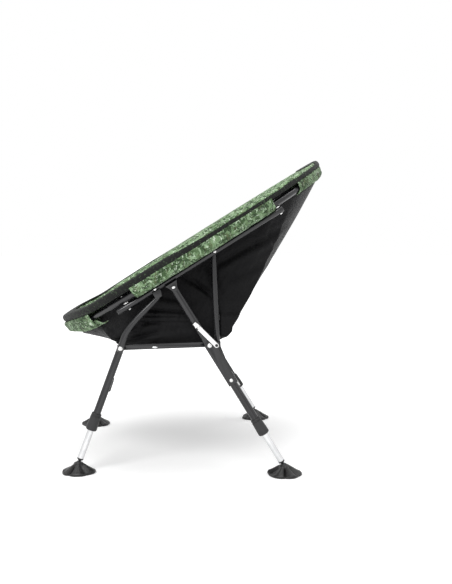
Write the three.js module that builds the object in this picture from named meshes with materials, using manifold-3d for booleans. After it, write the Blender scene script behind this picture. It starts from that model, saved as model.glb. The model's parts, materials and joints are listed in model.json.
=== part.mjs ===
// A round folding chair for a bank or lakeside: a padded bowl on a tilted ring, two side frames of tube, and
// four telescopic legs on mud feet. Millimetres, +X to the rear, +Y to the right, +Z up, floor at zero.

import * as THREE from "three";
import { mergeVertices } from "three/addons/utils/BufferGeometryUtils.js";
import Module from "manifold-3d";

const wasm = await Module();
wasm.setup();

// Fits and general values
const GAP = 0.3; // between pieces that rest on each other
const PIN_CLEARANCE = 0.3; // round a fixed pin, on the radius
const OVERRUN = 6; // how far a cutting tool runs past what it cuts
const WELD = 1e-3;
const TURN = 2 * Math.PI;
const DEGREE = Math.PI / 180;

// Seat ring
const RING_RADIUS = 426;
const RING_HEIGHT = 587; // centre of the ring above the floor
const RING_OFFSET = 7.5; // centre of the ring behind the middle of the whole chair
const RING_TILT = 32.2 * DEGREE; // rear edge up
const RING_TUBE = 18;
const RING_WALL = 1.5;
const FRONT_ARC_TUBE = 14.4;
const RING_STEP = 10 * DEGREE; // the ring and everything on it share these stations
const FRONT_ARC_HALF_ANGLE = 5 * RING_STEP;
const FRONT_ARC_INSERT = RING_STEP; // run of the front arc inside the main tube
const RAIL_SPACER = 2.4; // saddle under the ring where it is bolted to a rail

// Side frame
const SIDE_SPREAD_SHARE = 0.84155; // of the ring's radius
const SIDE_SPREAD = RING_RADIUS * SIDE_SPREAD_SHARE; // middle plane of a side frame from the middle
const RAIL_TUBE = 16;
const RAIL_WALL = 1.5;
const RAIL_PAST_FRONT_BOLT = 32;
const RAIL_PAST_REAR_BOLT = 11;
const STRUT_TUBE = 16;
const STRUT_WALL = 1.5;
const STRUT_SHIFT = 2; // top end ahead of the bracket's middle
const STRUT_TOP_ROOM = 1.9; // below the bracket's web
const STRUT_ELBOW_BACK = 16; // from the front hinge
const STRUT_ELBOW_UP = 49;
const STRUT_FOOT_LEAN = 16.3 * DEGREE;
const STRUT_PAST_HINGE = 10;
const ELBOW_SHARE = 0.45; // of each straight run taken up by the strut's elbow
const LEG_TUBE = 20; // diagonal and outer leg tubes
const LEG_WALL = 1.1;
const UPRIGHT_TUBE = 15;
const UPRIGHT_WALL = 1.3;
const UPRIGHT_AT = 32; // along the rail from below the ring's centre
const UPRIGHT_IN_RAIL = 3; // top end above the rail's lowest line, beside it
const UPRIGHT_FOOT_BEHIND = 21.5; // behind the rear hinge
const BAR_HEIGHT = 13.5;
const BAR_WIDTH = 10;
const BAR_NOSE = 9; // past the front hinge
const BAR_TAIL = 30; // past the rear hinge
const BRACKET_AT = -149; // along the rail
const BRACKET_LENGTH = 22;
const BRACKET_PLATE = 2.5;
const BRACKET_LAP = 4; // cheeks up the sides of the rail
const CLEVIS_DROP = 24; // rail axis to clevis rivet
const CLEVIS_PLATE = 2.5;
const CLEVIS_LENGTH = 34;
const CLEVIS_RIVET = 6;
const CLEVIS_ROUND = 9;
const DIAGONAL_PAST_RIVET = 8.5;
const RIVET_HEAD_RISE = 1.5;

// Cross tubes
const CROSS_TUBE = 16;
const CROSS_AT = 88; // behind the front hinge
const REAR_CROSS_TUBE = 14;
const REAR_CROSS_BACK = 47; // behind the rear hinge
const REAR_CROSS_UP = 37; // above the rear hinge
const REAR_CROSS_ARM_RISE = 42;
const REAR_CROSS_ARM_REACH = 28;
const REAR_CROSS_BEND = 26;
const HEM_ROLL = 32;
const HEM_INSIDE_FRAME = 88.5;
const HEM_LENGTH = 2 * (SIDE_SPREAD - HEM_INSIDE_FRAME);

// Hinges and legs
const REAR_HINGE_X = 24.5; // from below the ring's centre
const REAR_HINGE_DROP = 242; // below the ring's centre
const REAR_HINGE_Z = RING_HEIGHT - REAR_HINGE_DROP;
const REAR_LEAN = 31.5 * DEGREE;
const FRONT_HINGE_X = -204.5;
const FRONT_HINGE_DROP = 248.5;
const FRONT_HINGE_Z = RING_HEIGHT - FRONT_HINGE_DROP;
const FRONT_LEAN = 20.3 * DEGREE;
const LEG_PLANES_APART = 62.5; // front legs stand this far inside the rear ones
const HINGE_BOLT = 8;
const BOLT_HEAD = 12;
const BOLT_HEAD_RISE = 3.4;
const NUT_WIDTH = 13;
const NUT_RISE = 4;
const DOME_WIDTH_SHARE = 0.5; // of a bolt head's radius, at the edge of its flat top
const DOME_RISE_SHARE = 0.85;
const RING_BOLT_HEAD_RISE = 3.2;
const RING_BOLT_DOME_SHARE = 0.7;
const RING_BOLT_SHOULDER_SHARE = 0.8;
const RING_SPACER_RADIUS = 7;
const FOOT_PIVOT_Z = 24;
const REAR_LEG_RUN = (REAR_HINGE_Z - FOOT_PIVOT_Z) / Math.cos(REAR_LEAN); // hinge to foot pivot
const FRONT_LEG_RUN = (FRONT_HINGE_Z - FOOT_PIVOT_Z) / Math.cos(FRONT_LEAN);
const FORK_PLATE = 3;
const FORK_LENGTH = 118;
const FORK_EAR = 24;
const FORK_TOP_ROUND = 12.6;
const FORK_EAR_SHOULDER = 5; // where the ear starts to round off, and how far below the hinge it ends
const FORK_EAR_TOP = 1;
const FORK_EAR_BULGE = 1;
const FORK_EAR_BULGE_DROP = 3;
const FORK_EAR_BELOW_PIVOT = 4;
const FORK_CHEEK_LAP = 4; // outer cheek past the web, halfway down
const FORK_TAPER = 2;
const FORK_MIDDLE_SHARE = 0.45;
const FORK_TAPER_SHARE = 0.75;
const REAR_OUTER_START = 24;
const REAR_COLLAR_SHARE = 0.60561; // of the leg's run, down to the collar
const REAR_COLLAR_START = REAR_LEG_RUN * REAR_COLLAR_SHARE;
const FRONT_OUTER_START = -6.5;
const FRONT_COLLAR_SHARE = 0.57258;
const FRONT_COLLAR_START = FRONT_LEG_RUN * FRONT_COLLAR_SHARE;
const COLLAR_LENGTH = 47;
const COLLAR_TOP = 25;
const COLLAR_BOTTOM = 30;
const COLLAR_HOLD = 38; // how much of the outer tube the collar covers
const COLLAR_CHAMFER = 2.5;
const TAB_UP = 7; // tab's lower end above the collar's
const TAB_SUNK = 3.2; // tab's back inside the collar's widest line
const TAB_FLAT_SHARE = 0.7; // of the tab's height, below its nose
const TAB_NOSE_BACK_SHARE = 0.4;
const TAB_WIDTH = 9;
const TAB_HEIGHT = 24;
const TAB_THICKNESS = 3;
const TAB_NOSE = 3;
const INNER_TUBE = 17.2;
const INNER_WALL = 1.2;
const INNER_ENGAGED = 110; // run of the inner tube inside the outer one
const SLIDE_CLEARANCE = 0.3;
const BALL = 16;
const BALL_NECK = 7;
const INNER_STOP = 12; // tube end above the ball's centre
const INNER_CHAMFER = 1;
const INNER_PLUG = 8; // closed length at the tube's lower end

// Mud foot
const FOOT_WIDTH = 94;
const FOOT_EDGE = 4;
const FOOT_SOLE_INSET = 3;
const FOOT_EDGE_INSET = 1;
const FOOT_NECK_BELOW_TOP = 6;
const FOOT_MOUTH_FLARE = 0.5;
const FOOT_SKIRT_RISE = 12;
const FOOT_SKIRT_WIDTH = 60;
const FOOT_NECK_WIDTH = 25;
const FOOT_TOP = 33;
const FOOT_LOBES = 7;
const FOOT_LOBE_DEPTH = 3;
const FOOT_LOBE_SHARES = [0.6, 1, 1, 0.6, 0.1, 0]; // from the sole up to the mouth
const SOCKET_MOUTH = 3.4; // height of the socket's mouth above the ball's centre

// Hook latch
const HOOK_PIVOT_DOWN = 9; // along the leg from the hinge
const HOOK_PIVOT_BACK = 15.3;
const HOOK_PLATE = 2.5;
const HOOK_WIDTH = 11.5;
const HOOK_TIP_RUN = 10; // hook beyond the stud
const HOOK_TAB_LENGTH = 11;
const HOOK_NOTCH_ROOM = 0.5;
const HOOK_JAW_STEP = 1;
const HOOK_TAB_INSET = 2;
const HOOK_TAB_LEAN = 32.7 * DEGREE;
const PIVOT_PIN = 5;
const PIVOT_PIN_HEAD = 8;
const PIVOT_PIN_HEAD_RISE = 1.4;
const STUD_UP = 55.5; // along the diagonal from the hinge
const STUD_SHANK = 5;
const STUD_HEAD = 8.5;
const STUD_HEAD_RISE = 2.4;
const STUD_ROOT = 2.7; // inside the tube's wall
const STUD_FLANGE = 1.2; // root wider than the shank
const STUD_FLANGE_RISE = 1.4;
const STUD_DOME_WIDTH_SHARE = 0.83;
const STUD_DOME_RISE_SHARE = 0.7;

// Seat
const RIM_OUTSET = 10; // middle of the rim outside the ring tube's
const RIM_RADIUS = RING_RADIUS + RIM_OUTSET;
const RIM_UP = 26; // rim's middle above the ring tube's plane
const RIM_THICKNESS = 17;
const RIM_ROUND_SHARE = 0.7; // of half the rim's thickness, at its bevels
const RIM_LIP_SHARE = 1.1;
const RIM_INNER_SHARE = 2.2;
const PAD_THICKNESS = 24;
const PAD_FIRST_LOOP = 0.45; // of a step, from the shoulder to the bowl's first loop
const PAD_LOOP_POWER = 1.1;
const PAD_REAR_COSINE = 0.8; // where the bowl's straight back is fully in force
const PAD_STRAIGHT_SHARE = 0.6;
const PAD_DEPTH = 180; // below the shoulder
const PAD_SHIFT = -88; // deepest point of the bowl, ahead of the ring's centre
const PAD_OVER_SHELL = 3;
const PAD_FLOOR_RISE = 0.045;
const PAD_FRONT_RISE = 0.17;
const PAD_STEP_RUN = 26;
const PAD_SIDE_POWER = 2.1;
const PAD_REAR_POWER = 1.12;
const SHELL_THICKNESS = 2.5;
const SHELL_INSET = 14; // top edge of the shell inside the ring tube's middle, along the sides
const SHELL_TOP_RADIUS = RING_RADIUS - SHELL_INSET;
const SHELL_TOP_UP = 8;
const SHELL_WAIST_INSET = 12;
const SHELL_WAIST_RADIUS = SHELL_TOP_RADIUS - SHELL_WAIST_INSET;
const SHELL_INSIDE_FRAME = 29.5; // waist inside the side frames' middle planes
const SHELL_WAIST_HALF_WIDTH = SIDE_SPREAD - SHELL_INSIDE_FRAME;
const SHELL_WAIST_UP = -4;
const POCKET_EDGE_INSET = 4; // at the pockets the shell hangs from below them
const SHELL_WALL_SHARES = [0.3, 0.65];
const SHELL_UNDER_POCKET = 5; // clear of the pocket on the outside of the shell
const SHELL_FLOOR_SHARE = 0.5; // last loop of the floor, towards its middle
const SHELL_SQUARE_SHARE = 0.8; // how far the low loops go from an oval towards a rectangle
const SHOULDER_INSET = 6;
const SHOULDER_RADIUS = SHELL_WAIST_RADIUS - SHOULDER_INSET;
const SHOULDER_HALF_WIDTH = SHELL_WAIST_HALF_WIDTH - SHOULDER_INSET;
const SHOULDER_UP = 6;
// Low loops of the shell, each as front X, height of the front over the front hinge, rear X, height of the rear
// over it, and how far inside the side frames
const SHELL_LOW_LOOPS = [
  [-228, 14.1, 92, 72.5, 32],
  [-223, 13.5, 58, 64.5, 34],
  [-217, 12.9, 52, 40.5, 36.5],
  [-208, 12.3, 45, 17.5, 41],
].map(([frontX, frontUp, rearX, rearUp, inside]) => [
  frontX,
  FRONT_HINGE_Z + frontUp,
  rearX,
  FRONT_HINGE_Z + rearUp,
  inside,
]);
const SLEEVE_IN = 11; // reach of the sleeves and pockets round the ring tube's middle
const SLEEVE_OUT = 13;
const SLEEVE_BOX_POWER = 0.72; // below one the section is fuller than an oval
const FRONT_POCKET_DROP = 19;
const REAR_POCKET_DROP = 15;
const POCKET_PUFF_SHARE = 0.04;
const POCKET_EDGE_COSINE = 0.66; // where the shell starts to dip towards a pocket, and where it is below it
const POCKET_FULL_COSINE = 0.76;
const SIDE_SLEEVE_FRONT = 12 * RING_STEP;
const SIDE_SLEEVE_REAR = 6 * RING_STEP;
const FRONT_POCKET_HALF = 4 * RING_STEP;
const REAR_POCKET_HALF = 4 * RING_STEP;

// Counts of faces
const ROUND_SIDES = 14;
const SMALL_SIDES = 8;
const PIN_SIDES = 16;
const TUBE_SIDES = 10;
const ELBOW_STEPS = 4;
const SEAT_STEPS = 32;
const BOWL_STEPS = 7;
const SLEEVE_SIDES = 10;
const ARC_STEPS = 6;
const FOOT_STEPS = 21;
const BALL_STEPS = 4;

// Materials
function paint(color, roughness, metalness) {
  return new THREE.MeshStandardMaterial({ color, roughness, metalness });
}
const blackPaint = paint(0x2b2b2d, 0.45, 0.3);
const silver = paint(0xd9dadb, 0.35, 0.9);
const brightSteel = paint(0xe2e2e2, 0.25, 1);
const blackPlastic = paint(0x2a2a2b, 0.6, 0);
const rubber = paint(0x333333, 0.8, 0);
const camoCloth = paint(0x7b9570, 0.9, 0);
const blackCloth = paint(0x232324, 0.9, 0);

// Solids from geometries, for cuts and joins
function solidOf(geometry) {
  const bare = geometry.clone();
  bare.deleteAttribute("normal");
  bare.deleteAttribute("uv");
  const merged = mergeVertices(bare, WELD);
  return new wasm.Manifold(
    new wasm.Mesh({
      numProp: 3,
      vertProperties: merged.attributes.position.array,
      triVerts: new Uint32Array(merged.index.array),
    }),
  );
}

function geometryOf(solid) {
  const mesh = solid.getMesh();
  const geometry = new THREE.BufferGeometry();
  geometry.setAttribute("position", new THREE.BufferAttribute(mesh.vertProperties, 3));
  geometry.setIndex(new THREE.BufferAttribute(mesh.triVerts, 1));
  geometry.computeVertexNormals();
  return geometry;
}

function cut(geometry, tools) {
  const body = tools.reduce((left, tool) => left.subtract(solidOf(tool)), solidOf(geometry));
  return geometryOf(body);
}

function join(geometries) {
  const body = geometries.map(solidOf).reduce((sum, piece) => sum.add(piece));
  return geometryOf(body);
}

// A geometry made along +Y, turned and moved to run from one point towards another
function between(geometry, from, to) {
  const direction = to.clone().sub(from).normalize();
  const turn = new THREE.Quaternion().setFromUnitVectors(new THREE.Vector3(0, 1, 0), direction);
  geometry.applyQuaternion(turn);
  geometry.translate(from.x, from.y, from.z);
  return geometry;
}

function rod(from, to, diameter, sides = ROUND_SIDES) {
  const length = from.distanceTo(to);
  const radius = diameter / 2;
  const geometry = new THREE.CylinderGeometry(radius, radius, length, sides);
  geometry.translate(0, length / 2, 0);
  return between(geometry, from, to);
}

function profileRing(points, from, to, sides = ROUND_SIDES) {
  const profile = points.map(([radius, along]) => new THREE.Vector2(radius, along));
  return between(new THREE.LatheGeometry(profile, sides), from, to);
}

function pipe(from, to, outer, inner, sides = ROUND_SIDES) {
  const length = from.distanceTo(to);
  const points = [
    [inner / 2, 0],
    [outer / 2, 0],
    [outer / 2, length],
    [inner / 2, length],
    [inner / 2, 0],
  ];
  return profileRing(points, from, to, sides);
}

// A flat plate in a plane square to Y, from y towards +Y, with the outline given as X and Z
function plate(outline, thickness, y) {
  const geometry = new THREE.ExtrudeGeometry(outline, {
    depth: thickness,
    bevelEnabled: false,
    curveSegments: ARC_STEPS,
  });
  geometry.rotateX(Math.PI / 2);
  geometry.translate(0, y + thickness, 0);
  return geometry;
}

function box(width, depth, height, x, y, z) {
  const geometry = new THREE.BoxGeometry(width, depth, height);
  geometry.translate(x, y, z);
  return geometry;
}

const boltHead = [
  [0, -BOLT_HEAD_RISE],
  [(BOLT_HEAD / 2) * DOME_WIDTH_SHARE, -BOLT_HEAD_RISE * DOME_RISE_SHARE],
  [BOLT_HEAD / 2, -GAP],
];

// A bolt along Y: domed head at its start, shank, and a round nut at its end
function bolt(from, to, shank) {
  const length = from.distanceTo(to);
  const shankRadius = shank / 2;
  const points = [
    ...boltHead,
    [shankRadius, -GAP],
    [shankRadius, length + GAP],
    [NUT_WIDTH / 2, length + GAP],
    [NUT_WIDTH / 2, length + NUT_RISE],
    [0, length + NUT_RISE],
  ];
  return profileRing(points, from, to, PIN_SIDES);
}

// A closed body from two matching grids of points: an outside and an inside, both rings of the same count
function ringedBody(outside, inside, closedTips) {
  const count = outside[0].length;
  const positions = [];
  const index = [];
  const put = (point) => positions.push(point.x, point.y, point.z) / 3 - 1;
  const outer = outside.map((ring) => ring.map(put));
  const inner = inside.map((ring) => ring.map(put));
  const quad = (a, b, c, d) => index.push(a, b, c, a, c, d);
  // Both skins are split along the same diagonals, so that they stay one wall apart
  const skin = (rows, flip) => {
    for (let row = 0; row + 1 < rows.length; row += 1) {
      for (let at = 0; at < count; at += 1) {
        const next = (at + 1) % count;
        const [a, b, c, d] = [rows[row][at], rows[row][next], rows[row + 1][next], rows[row + 1][at]];
        if (flip) {
          index.push(a, c, b, a, d, c);
        } else {
          quad(a, b, c, d);
        }
      }
    }
  };
  const band = (first, second) => {
    for (let at = 0; at < count; at += 1) {
      const next = (at + 1) % count;
      quad(first[at], first[next], second[next], second[at]);
    }
  };
  skin(outer, false);
  skin(inner, true);
  band(inner[0], outer[0]);
  if (closedTips) {
    const fan = (ring, tip, flip) => {
      const centre = put(tip);
      for (let at = 0; at < count; at += 1) {
        const next = (at + 1) % count;
        index.push(...(flip ? [ring[next], ring[at], centre] : [ring[at], ring[next], centre]));
      }
    };
    fan(outer[outer.length - 1], closedTips.outer, false);
    fan(inner[inner.length - 1], closedTips.inner, true);
  } else {
    band(outer[outer.length - 1], inner[inner.length - 1]);
  }
  const geometry = new THREE.BufferGeometry();
  geometry.setAttribute("position", new THREE.BufferAttribute(new Float32Array(positions), 3));
  geometry.setIndex(index);
  const solid = solidOf(geometry);
  if (solid.volume() < 0) {
    for (let at = 0; at < index.length; at += 3) {
      [index[at + 1], index[at + 2]] = [index[at + 2], index[at + 1]];
    }
    geometry.setIndex(index);
  }
  geometry.computeVertexNormals();
  return geometry;
}

// Placing on the tilted ring: along its slope from the centre, sideways, and up square to it
function onRing(along, side, up) {
  return new THREE.Vector3(
    along * Math.cos(RING_TILT) - up * Math.sin(RING_TILT),
    side,
    RING_HEIGHT + along * Math.sin(RING_TILT) + up * Math.cos(RING_TILT),
  );
}

// The ring's angle runs from the rear, through the right side, to the front
function ringPoint(radius, angle, up) {
  return onRing(radius * Math.cos(angle), radius * Math.sin(angle), up);
}

const chair = new THREE.Group();
chair.position.x = RING_OFFSET;

function add(group, name, geometry, material) {
  const mesh = new THREE.Mesh(geometry, material);
  mesh.name = name;
  group.add(mesh);
  return mesh;
}

// A tube through given points of a flat curve, with the direction that stands square to the curve's plane
function sweptTube(points, square, outer, inner, sides = TUBE_SIDES) {
  const last = points.length - 1;
  const rings = (radius) =>
    points.map((point, at) => {
      const before = points[Math.max(0, at - 1)];
      const after = points[Math.min(last, at + 1)];
      const tangent = after.clone().sub(before).normalize();
      const across = tangent.clone().cross(square).normalize();
      return Array.from({ length: sides }, (_, side) => {
        const angle = (TURN * side) / sides;
        return point
          .clone()
          .addScaledVector(across, radius * Math.cos(angle))
          .addScaledVector(square, radius * Math.sin(angle));
      });
    });
  return ringedBody(rings(outer / 2), rings(inner / 2), null);
}

// Points of a bend that leaves one line at a share of the way and joins the next
function bend(from, corner, to, steps) {
  const curve = new THREE.QuadraticBezierCurve3(from, corner, to);
  return curve.getPoints(steps);
}

// Seat ring
const ringNormal = new THREE.Vector3(-Math.sin(RING_TILT), 0, Math.cos(RING_TILT));

function ringAngles(from, to) {
  const steps = Math.round((to - from) / RING_STEP);
  return Array.from({ length: steps + 1 }, (_, at) => from + at * RING_STEP);
}

function arcTube(from, to, outer, inner) {
  const points = ringAngles(from, to).map((angle) => ringPoint(RING_RADIUS, angle, 0));
  return sweptTube(points, ringNormal, outer, inner);
}

const RAIL_DROP = RING_TUBE / 2 + RAIL_SPACER + 2 * GAP + RAIL_TUBE / 2;
const BOLT_RUN = Math.sqrt(RING_RADIUS ** 2 - SIDE_SPREAD ** 2);
const RING_BOLT = 5;
const RAIL_FRONT_RUN = BOLT_RUN + RAIL_PAST_FRONT_BOLT;
const RAIL_REAR_RUN = BOLT_RUN + RAIL_PAST_REAR_BOLT;
const mainArcEnd = Math.PI - FRONT_ARC_HALF_ANGLE;

function ringBoltHoles() {
  const holes = [];
  for (const side of [-1, 1]) {
    for (const run of [-BOLT_RUN, BOLT_RUN]) {
      const low = onRing(run, side * SIDE_SPREAD, -RING_TUBE);
      const high = onRing(run, side * SIDE_SPREAD, RING_TUBE);
      holes.push(rod(low, high, RING_BOLT + 2 * PIN_CLEARANCE, SMALL_SIDES));
    }
  }
  return holes;
}

const mainBore = FRONT_ARC_TUBE + 2 * SLIDE_CLEARANCE;
const ringMain = arcTube(-mainArcEnd, mainArcEnd, RING_TUBE, mainBore);
const frontArcEnd = mainArcEnd - FRONT_ARC_INSERT;
const ringFront = arcTube(
  frontArcEnd,
  TURN - frontArcEnd,
  FRONT_ARC_TUBE,
  FRONT_ARC_TUBE - 2 * RING_WALL,
);
add(chair, "ring_main_tube", cut(ringMain, ringBoltHoles()), blackPaint);
add(chair, "ring_front_tube", cut(ringFront, ringBoltHoles()), blackPaint);

// Side frame, built with +Y outwards and mirrored for the left side
const legAxis = (lean) => new THREE.Vector3(Math.sin(lean), 0, -Math.cos(lean));
const rearHinge = new THREE.Vector3(REAR_HINGE_X, SIDE_SPREAD, REAR_HINGE_Z);
const frontHinge = new THREE.Vector3(FRONT_HINGE_X, SIDE_SPREAD, FRONT_HINGE_Z);
const rearDown = legAxis(REAR_LEAN);
const frontDown = legAxis(-FRONT_LEAN);

const railPoint = (along, up = 0) => onRing(along, SIDE_SPREAD, up - RAIL_DROP);
const atY = (point, y) => new THREE.Vector3(point.x, y, point.z);
const shift = (point, direction, length) => point.clone().addScaledVector(direction, length);

// The clevis rivet is where the rear leg's own line reaches the clevis height under the rail
const clevisRivet = (() => {
  const slope = new THREE.Vector3(Math.cos(RING_TILT), 0, Math.sin(RING_TILT));
  const up = new THREE.Vector3(-slope.z, 0, slope.x);
  const target = railPoint(0, -CLEVIS_DROP);
  const rise = target.clone().sub(rearHinge).dot(up) / rearDown.dot(up);
  return shift(rearHinge, rearDown, rise);
})();
const clevisAlong =
  clevisRivet.x * Math.cos(RING_TILT) + (clevisRivet.z - RING_HEIGHT) * Math.sin(RING_TILT);

const barAngle = Math.atan2(REAR_HINGE_Z - FRONT_HINGE_Z, REAR_HINGE_X - FRONT_HINGE_X);
const hingesApart = Math.hypot(REAR_HINGE_X - FRONT_HINGE_X, REAR_HINGE_Z - FRONT_HINGE_Z);
const forkInside = LEG_TUBE / 2 + GAP; // leg's middle to a fork plate
const barOuter = SIDE_SPREAD - forkInside - FORK_PLATE - GAP; // bar's outer face
const barMiddle = barOuter - BAR_WIDTH / 2;
const barInner = barOuter - BAR_WIDTH;
const frontLegSpread = SIDE_SPREAD - LEG_PLANES_APART;
const uprightSpread = SIDE_SPREAD - RAIL_TUBE / 2 - GAP - UPRIGHT_TUBE / 2;
const hingeHole = HINGE_BOLT + 2 * PIN_CLEARANCE;

function acrossY(point, y0, y1, diameter, sides = PIN_SIDES) {
  return rod(atY(point, y0), atY(point, y1), diameter, sides);
}

function sideRail() {
  const rail = pipe(
    railPoint(-RAIL_FRONT_RUN),
    railPoint(RAIL_REAR_RUN),
    RAIL_TUBE,
    RAIL_TUBE - 2 * RAIL_WALL,
  );
  const holes = [-BOLT_RUN, BOLT_RUN].map((run) =>
    rod(railPoint(run, -RAIL_TUBE), railPoint(run, RAIL_TUBE), RING_BOLT + 2 * PIN_CLEARANCE, SMALL_SIDES),
  );
  return cut(rail, holes);
}

// Bolt up through the rail and the ring, its spacer made in one with it
function ringBolt(run) {
  const headRise = RING_BOLT_HEAD_RISE;
  const headEdge = RING_BOLT * RING_BOLT_DOME_SHARE;
  const shoulder = headRise * RING_BOLT_SHOULDER_SHARE;
  const start = railPoint(run, -RAIL_TUBE / 2);
  const end = railPoint(run, RAIL_DROP + RING_TUBE / 2);
  const shankRadius = RING_BOLT / 2;
  const spacerLow = RAIL_TUBE + GAP;
  const spacerHigh = spacerLow + RAIL_SPACER;
  const top = RAIL_DROP + RING_TUBE / 2 + RAIL_TUBE / 2;
  const points = [
    [0, -headRise],
    [headEdge, -shoulder],
    [RING_BOLT, -GAP],
    [shankRadius, -GAP],
    [shankRadius, spacerLow],
    [RING_SPACER_RADIUS, spacerLow],
    [RING_SPACER_RADIUS, spacerHigh],
    [shankRadius, spacerHigh],
    [shankRadius, top + GAP],
    [RING_BOLT, top + GAP],
    [headEdge, top + shoulder],
    [0, top + headRise],
  ];
  return profileRing(points, start, end, SMALL_SIDES);
}

function frontBracket() {
  const cheekTop = -RAIL_TUBE / 2 + BRACKET_LAP;
  const cheekLow = -RAIL_TUBE / 2 - STRUT_TUBE - GAP;
  const inside = RAIL_TUBE / 2 + GAP;
  const cheeks = [inside, -inside - BRACKET_PLATE].map((y) => {
    const outline = new THREE.Shape();
    outline.moveTo(-BRACKET_LENGTH / 2, cheekTop);
    outline.lineTo(BRACKET_LENGTH / 2, cheekTop);
    outline.lineTo(BRACKET_LENGTH / 2, cheekLow / 2);
    outline.lineTo(BRACKET_LENGTH / 4, cheekLow);
    outline.lineTo(-BRACKET_LENGTH / 2, cheekLow);
    outline.closePath();
    return plate(outline, BRACKET_PLATE, y);
  });
  const webTop = -RAIL_TUBE / 2 - GAP;
  const web = box(
    BRACKET_LENGTH,
    2 * (inside + BRACKET_PLATE),
    BRACKET_PLATE,
    0,
    0,
    webTop - BRACKET_PLATE / 2,
  );
  const bracket = join([...cheeks, web]);
  const middle = railPoint(BRACKET_AT);
  bracket.rotateY(-RING_TILT);
  bracket.translate(middle.x, middle.y, middle.z);
  return bracket;
}

// Top of the strut lies inside the front bracket, below its web
const strutTop = railPoint(
  BRACKET_AT - STRUT_SHIFT,
  -RAIL_TUBE / 2 - BRACKET_PLATE - STRUT_TOP_ROOM - STRUT_TUBE / 2,
);
const strutElbow = shift(
  shift(frontHinge, new THREE.Vector3(1, 0, 0), STRUT_ELBOW_BACK),
  new THREE.Vector3(0, 0, 1),
  STRUT_ELBOW_UP,
);
const strutEnd = shift(frontHinge, legAxis(-STRUT_FOOT_LEAN), STRUT_PAST_HINGE);

function frontStrut() {
  const elbowIn = strutTop.clone().lerp(strutElbow, 1 - ELBOW_SHARE);
  const elbowOut = strutElbow.clone().lerp(frontHinge, ELBOW_SHARE);
  const points = [strutTop, ...bend(elbowIn, strutElbow, elbowOut, ELBOW_STEPS), strutEnd];
  const square = new THREE.Vector3(0, 1, 0);
  const strut = sweptTube(points, square, STRUT_TUBE, STRUT_TUBE - 2 * STRUT_WALL);
  const hole = acrossY(frontHinge, SIDE_SPREAD - STRUT_TUBE, SIDE_SPREAD + STRUT_TUBE, hingeHole);
  return cut(strut, [hole]);
}

// Two cheeks under the rail, with the rivet through the diagonal made in one with them
function rearClevis() {
  const inside = LEG_TUBE / 2 + GAP;
  const cheekTop = -RAIL_TUBE / 2 - GAP;
  const round = CLEVIS_ROUND;
  const cheeks = [inside, -inside - CLEVIS_PLATE].map((y) => {
    const outline = new THREE.Shape();
    outline.moveTo(-CLEVIS_LENGTH / 2, cheekTop);
    outline.lineTo(-round, -CLEVIS_DROP);
    outline.absarc(0, -CLEVIS_DROP, round, Math.PI, TURN, false);
    outline.lineTo(CLEVIS_LENGTH / 2, cheekTop);
    outline.closePath();
    return plate(outline, CLEVIS_PLATE, y);
  });
  const web = box(
    CLEVIS_LENGTH,
    2 * (inside + CLEVIS_PLATE),
    CLEVIS_PLATE,
    0,
    0,
    cheekTop - CLEVIS_PLATE / 2,
  );
  const reach = inside + CLEVIS_PLATE + RIVET_HEAD_RISE;
  const rivet = rod(
    new THREE.Vector3(0, -reach, -CLEVIS_DROP),
    new THREE.Vector3(0, reach, -CLEVIS_DROP),
    CLEVIS_RIVET,
    SMALL_SIDES,
  );
  const clevis = join([...cheeks, web, rivet]);
  const middle = railPoint(clevisAlong);
  clevis.rotateY(-RING_TILT);
  clevis.translate(middle.x, middle.y, middle.z);
  return clevis;
}

function diagonalTube() {
  const topEnd = shift(clevisRivet, rearDown, -DIAGONAL_PAST_RIVET);
  const lowEnd = shift(rearHinge, rearDown, LEG_TUBE / 2);
  const tube = pipe(topEnd, lowEnd, LEG_TUBE, LEG_TUBE - 2 * LEG_WALL);
  const roundEnd = acrossY(rearHinge, SIDE_SPREAD - LEG_TUBE, SIDE_SPREAD + LEG_TUBE, LEG_TUBE, ROUND_SIDES);
  const keepTo = shift(rearHinge, rearDown, -OVERRUN);
  const lowPart = rod(keepTo, shift(lowEnd, rearDown, OVERRUN), 2 * LEG_TUBE);
  const waste = cut(lowPart, [
    roundEnd,
    rod(shift(keepTo, rearDown, -OVERRUN), rearHinge, LEG_TUBE + 2 * OVERRUN),
  ]);
  const holes = [
    acrossY(rearHinge, SIDE_SPREAD - LEG_TUBE, SIDE_SPREAD + LEG_TUBE, hingeHole),
    acrossY(clevisRivet, SIDE_SPREAD - LEG_TUBE, SIDE_SPREAD + LEG_TUBE, CLEVIS_RIVET + 2 * PIN_CLEARANCE),
    studHole(),
  ];
  return cut(tube, [waste, ...holes]);
}

const studAt = shift(rearHinge, rearDown, -STUD_UP);
const studOuter = SIDE_SPREAD + LEG_TUBE / 2;
const hookInner = SIDE_SPREAD + forkInside + FORK_PLATE + GAP; // inner face of the hook

function studHole() {
  return acrossY(studAt, SIDE_SPREAD, SIDE_SPREAD + LEG_TUBE, STUD_SHANK + 2 * PIN_CLEARANCE);
}

function latchStud() {
  const wallIn = LEG_WALL + STUD_ROOT;
  const from = atY(studAt, studOuter - wallIn);
  const to = atY(studAt, studOuter);
  const headLow = wallIn + (hookInner + HOOK_PLATE + 2 * GAP - studOuter);
  const points = [
    [0, 0],
    [STUD_SHANK / 2 + STUD_FLANGE, 0],
    [STUD_SHANK / 2 + STUD_FLANGE, STUD_FLANGE_RISE],
    [STUD_SHANK / 2, STUD_FLANGE_RISE],
    [STUD_SHANK / 2, headLow],
    [STUD_HEAD / 2, headLow],
    [(STUD_HEAD / 2) * STUD_DOME_WIDTH_SHARE, headLow + STUD_HEAD_RISE * STUD_DOME_RISE_SHARE],
    [0, headLow + STUD_HEAD_RISE],
  ];
  return profileRing(points, from, to, SMALL_SIDES);
}

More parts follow.
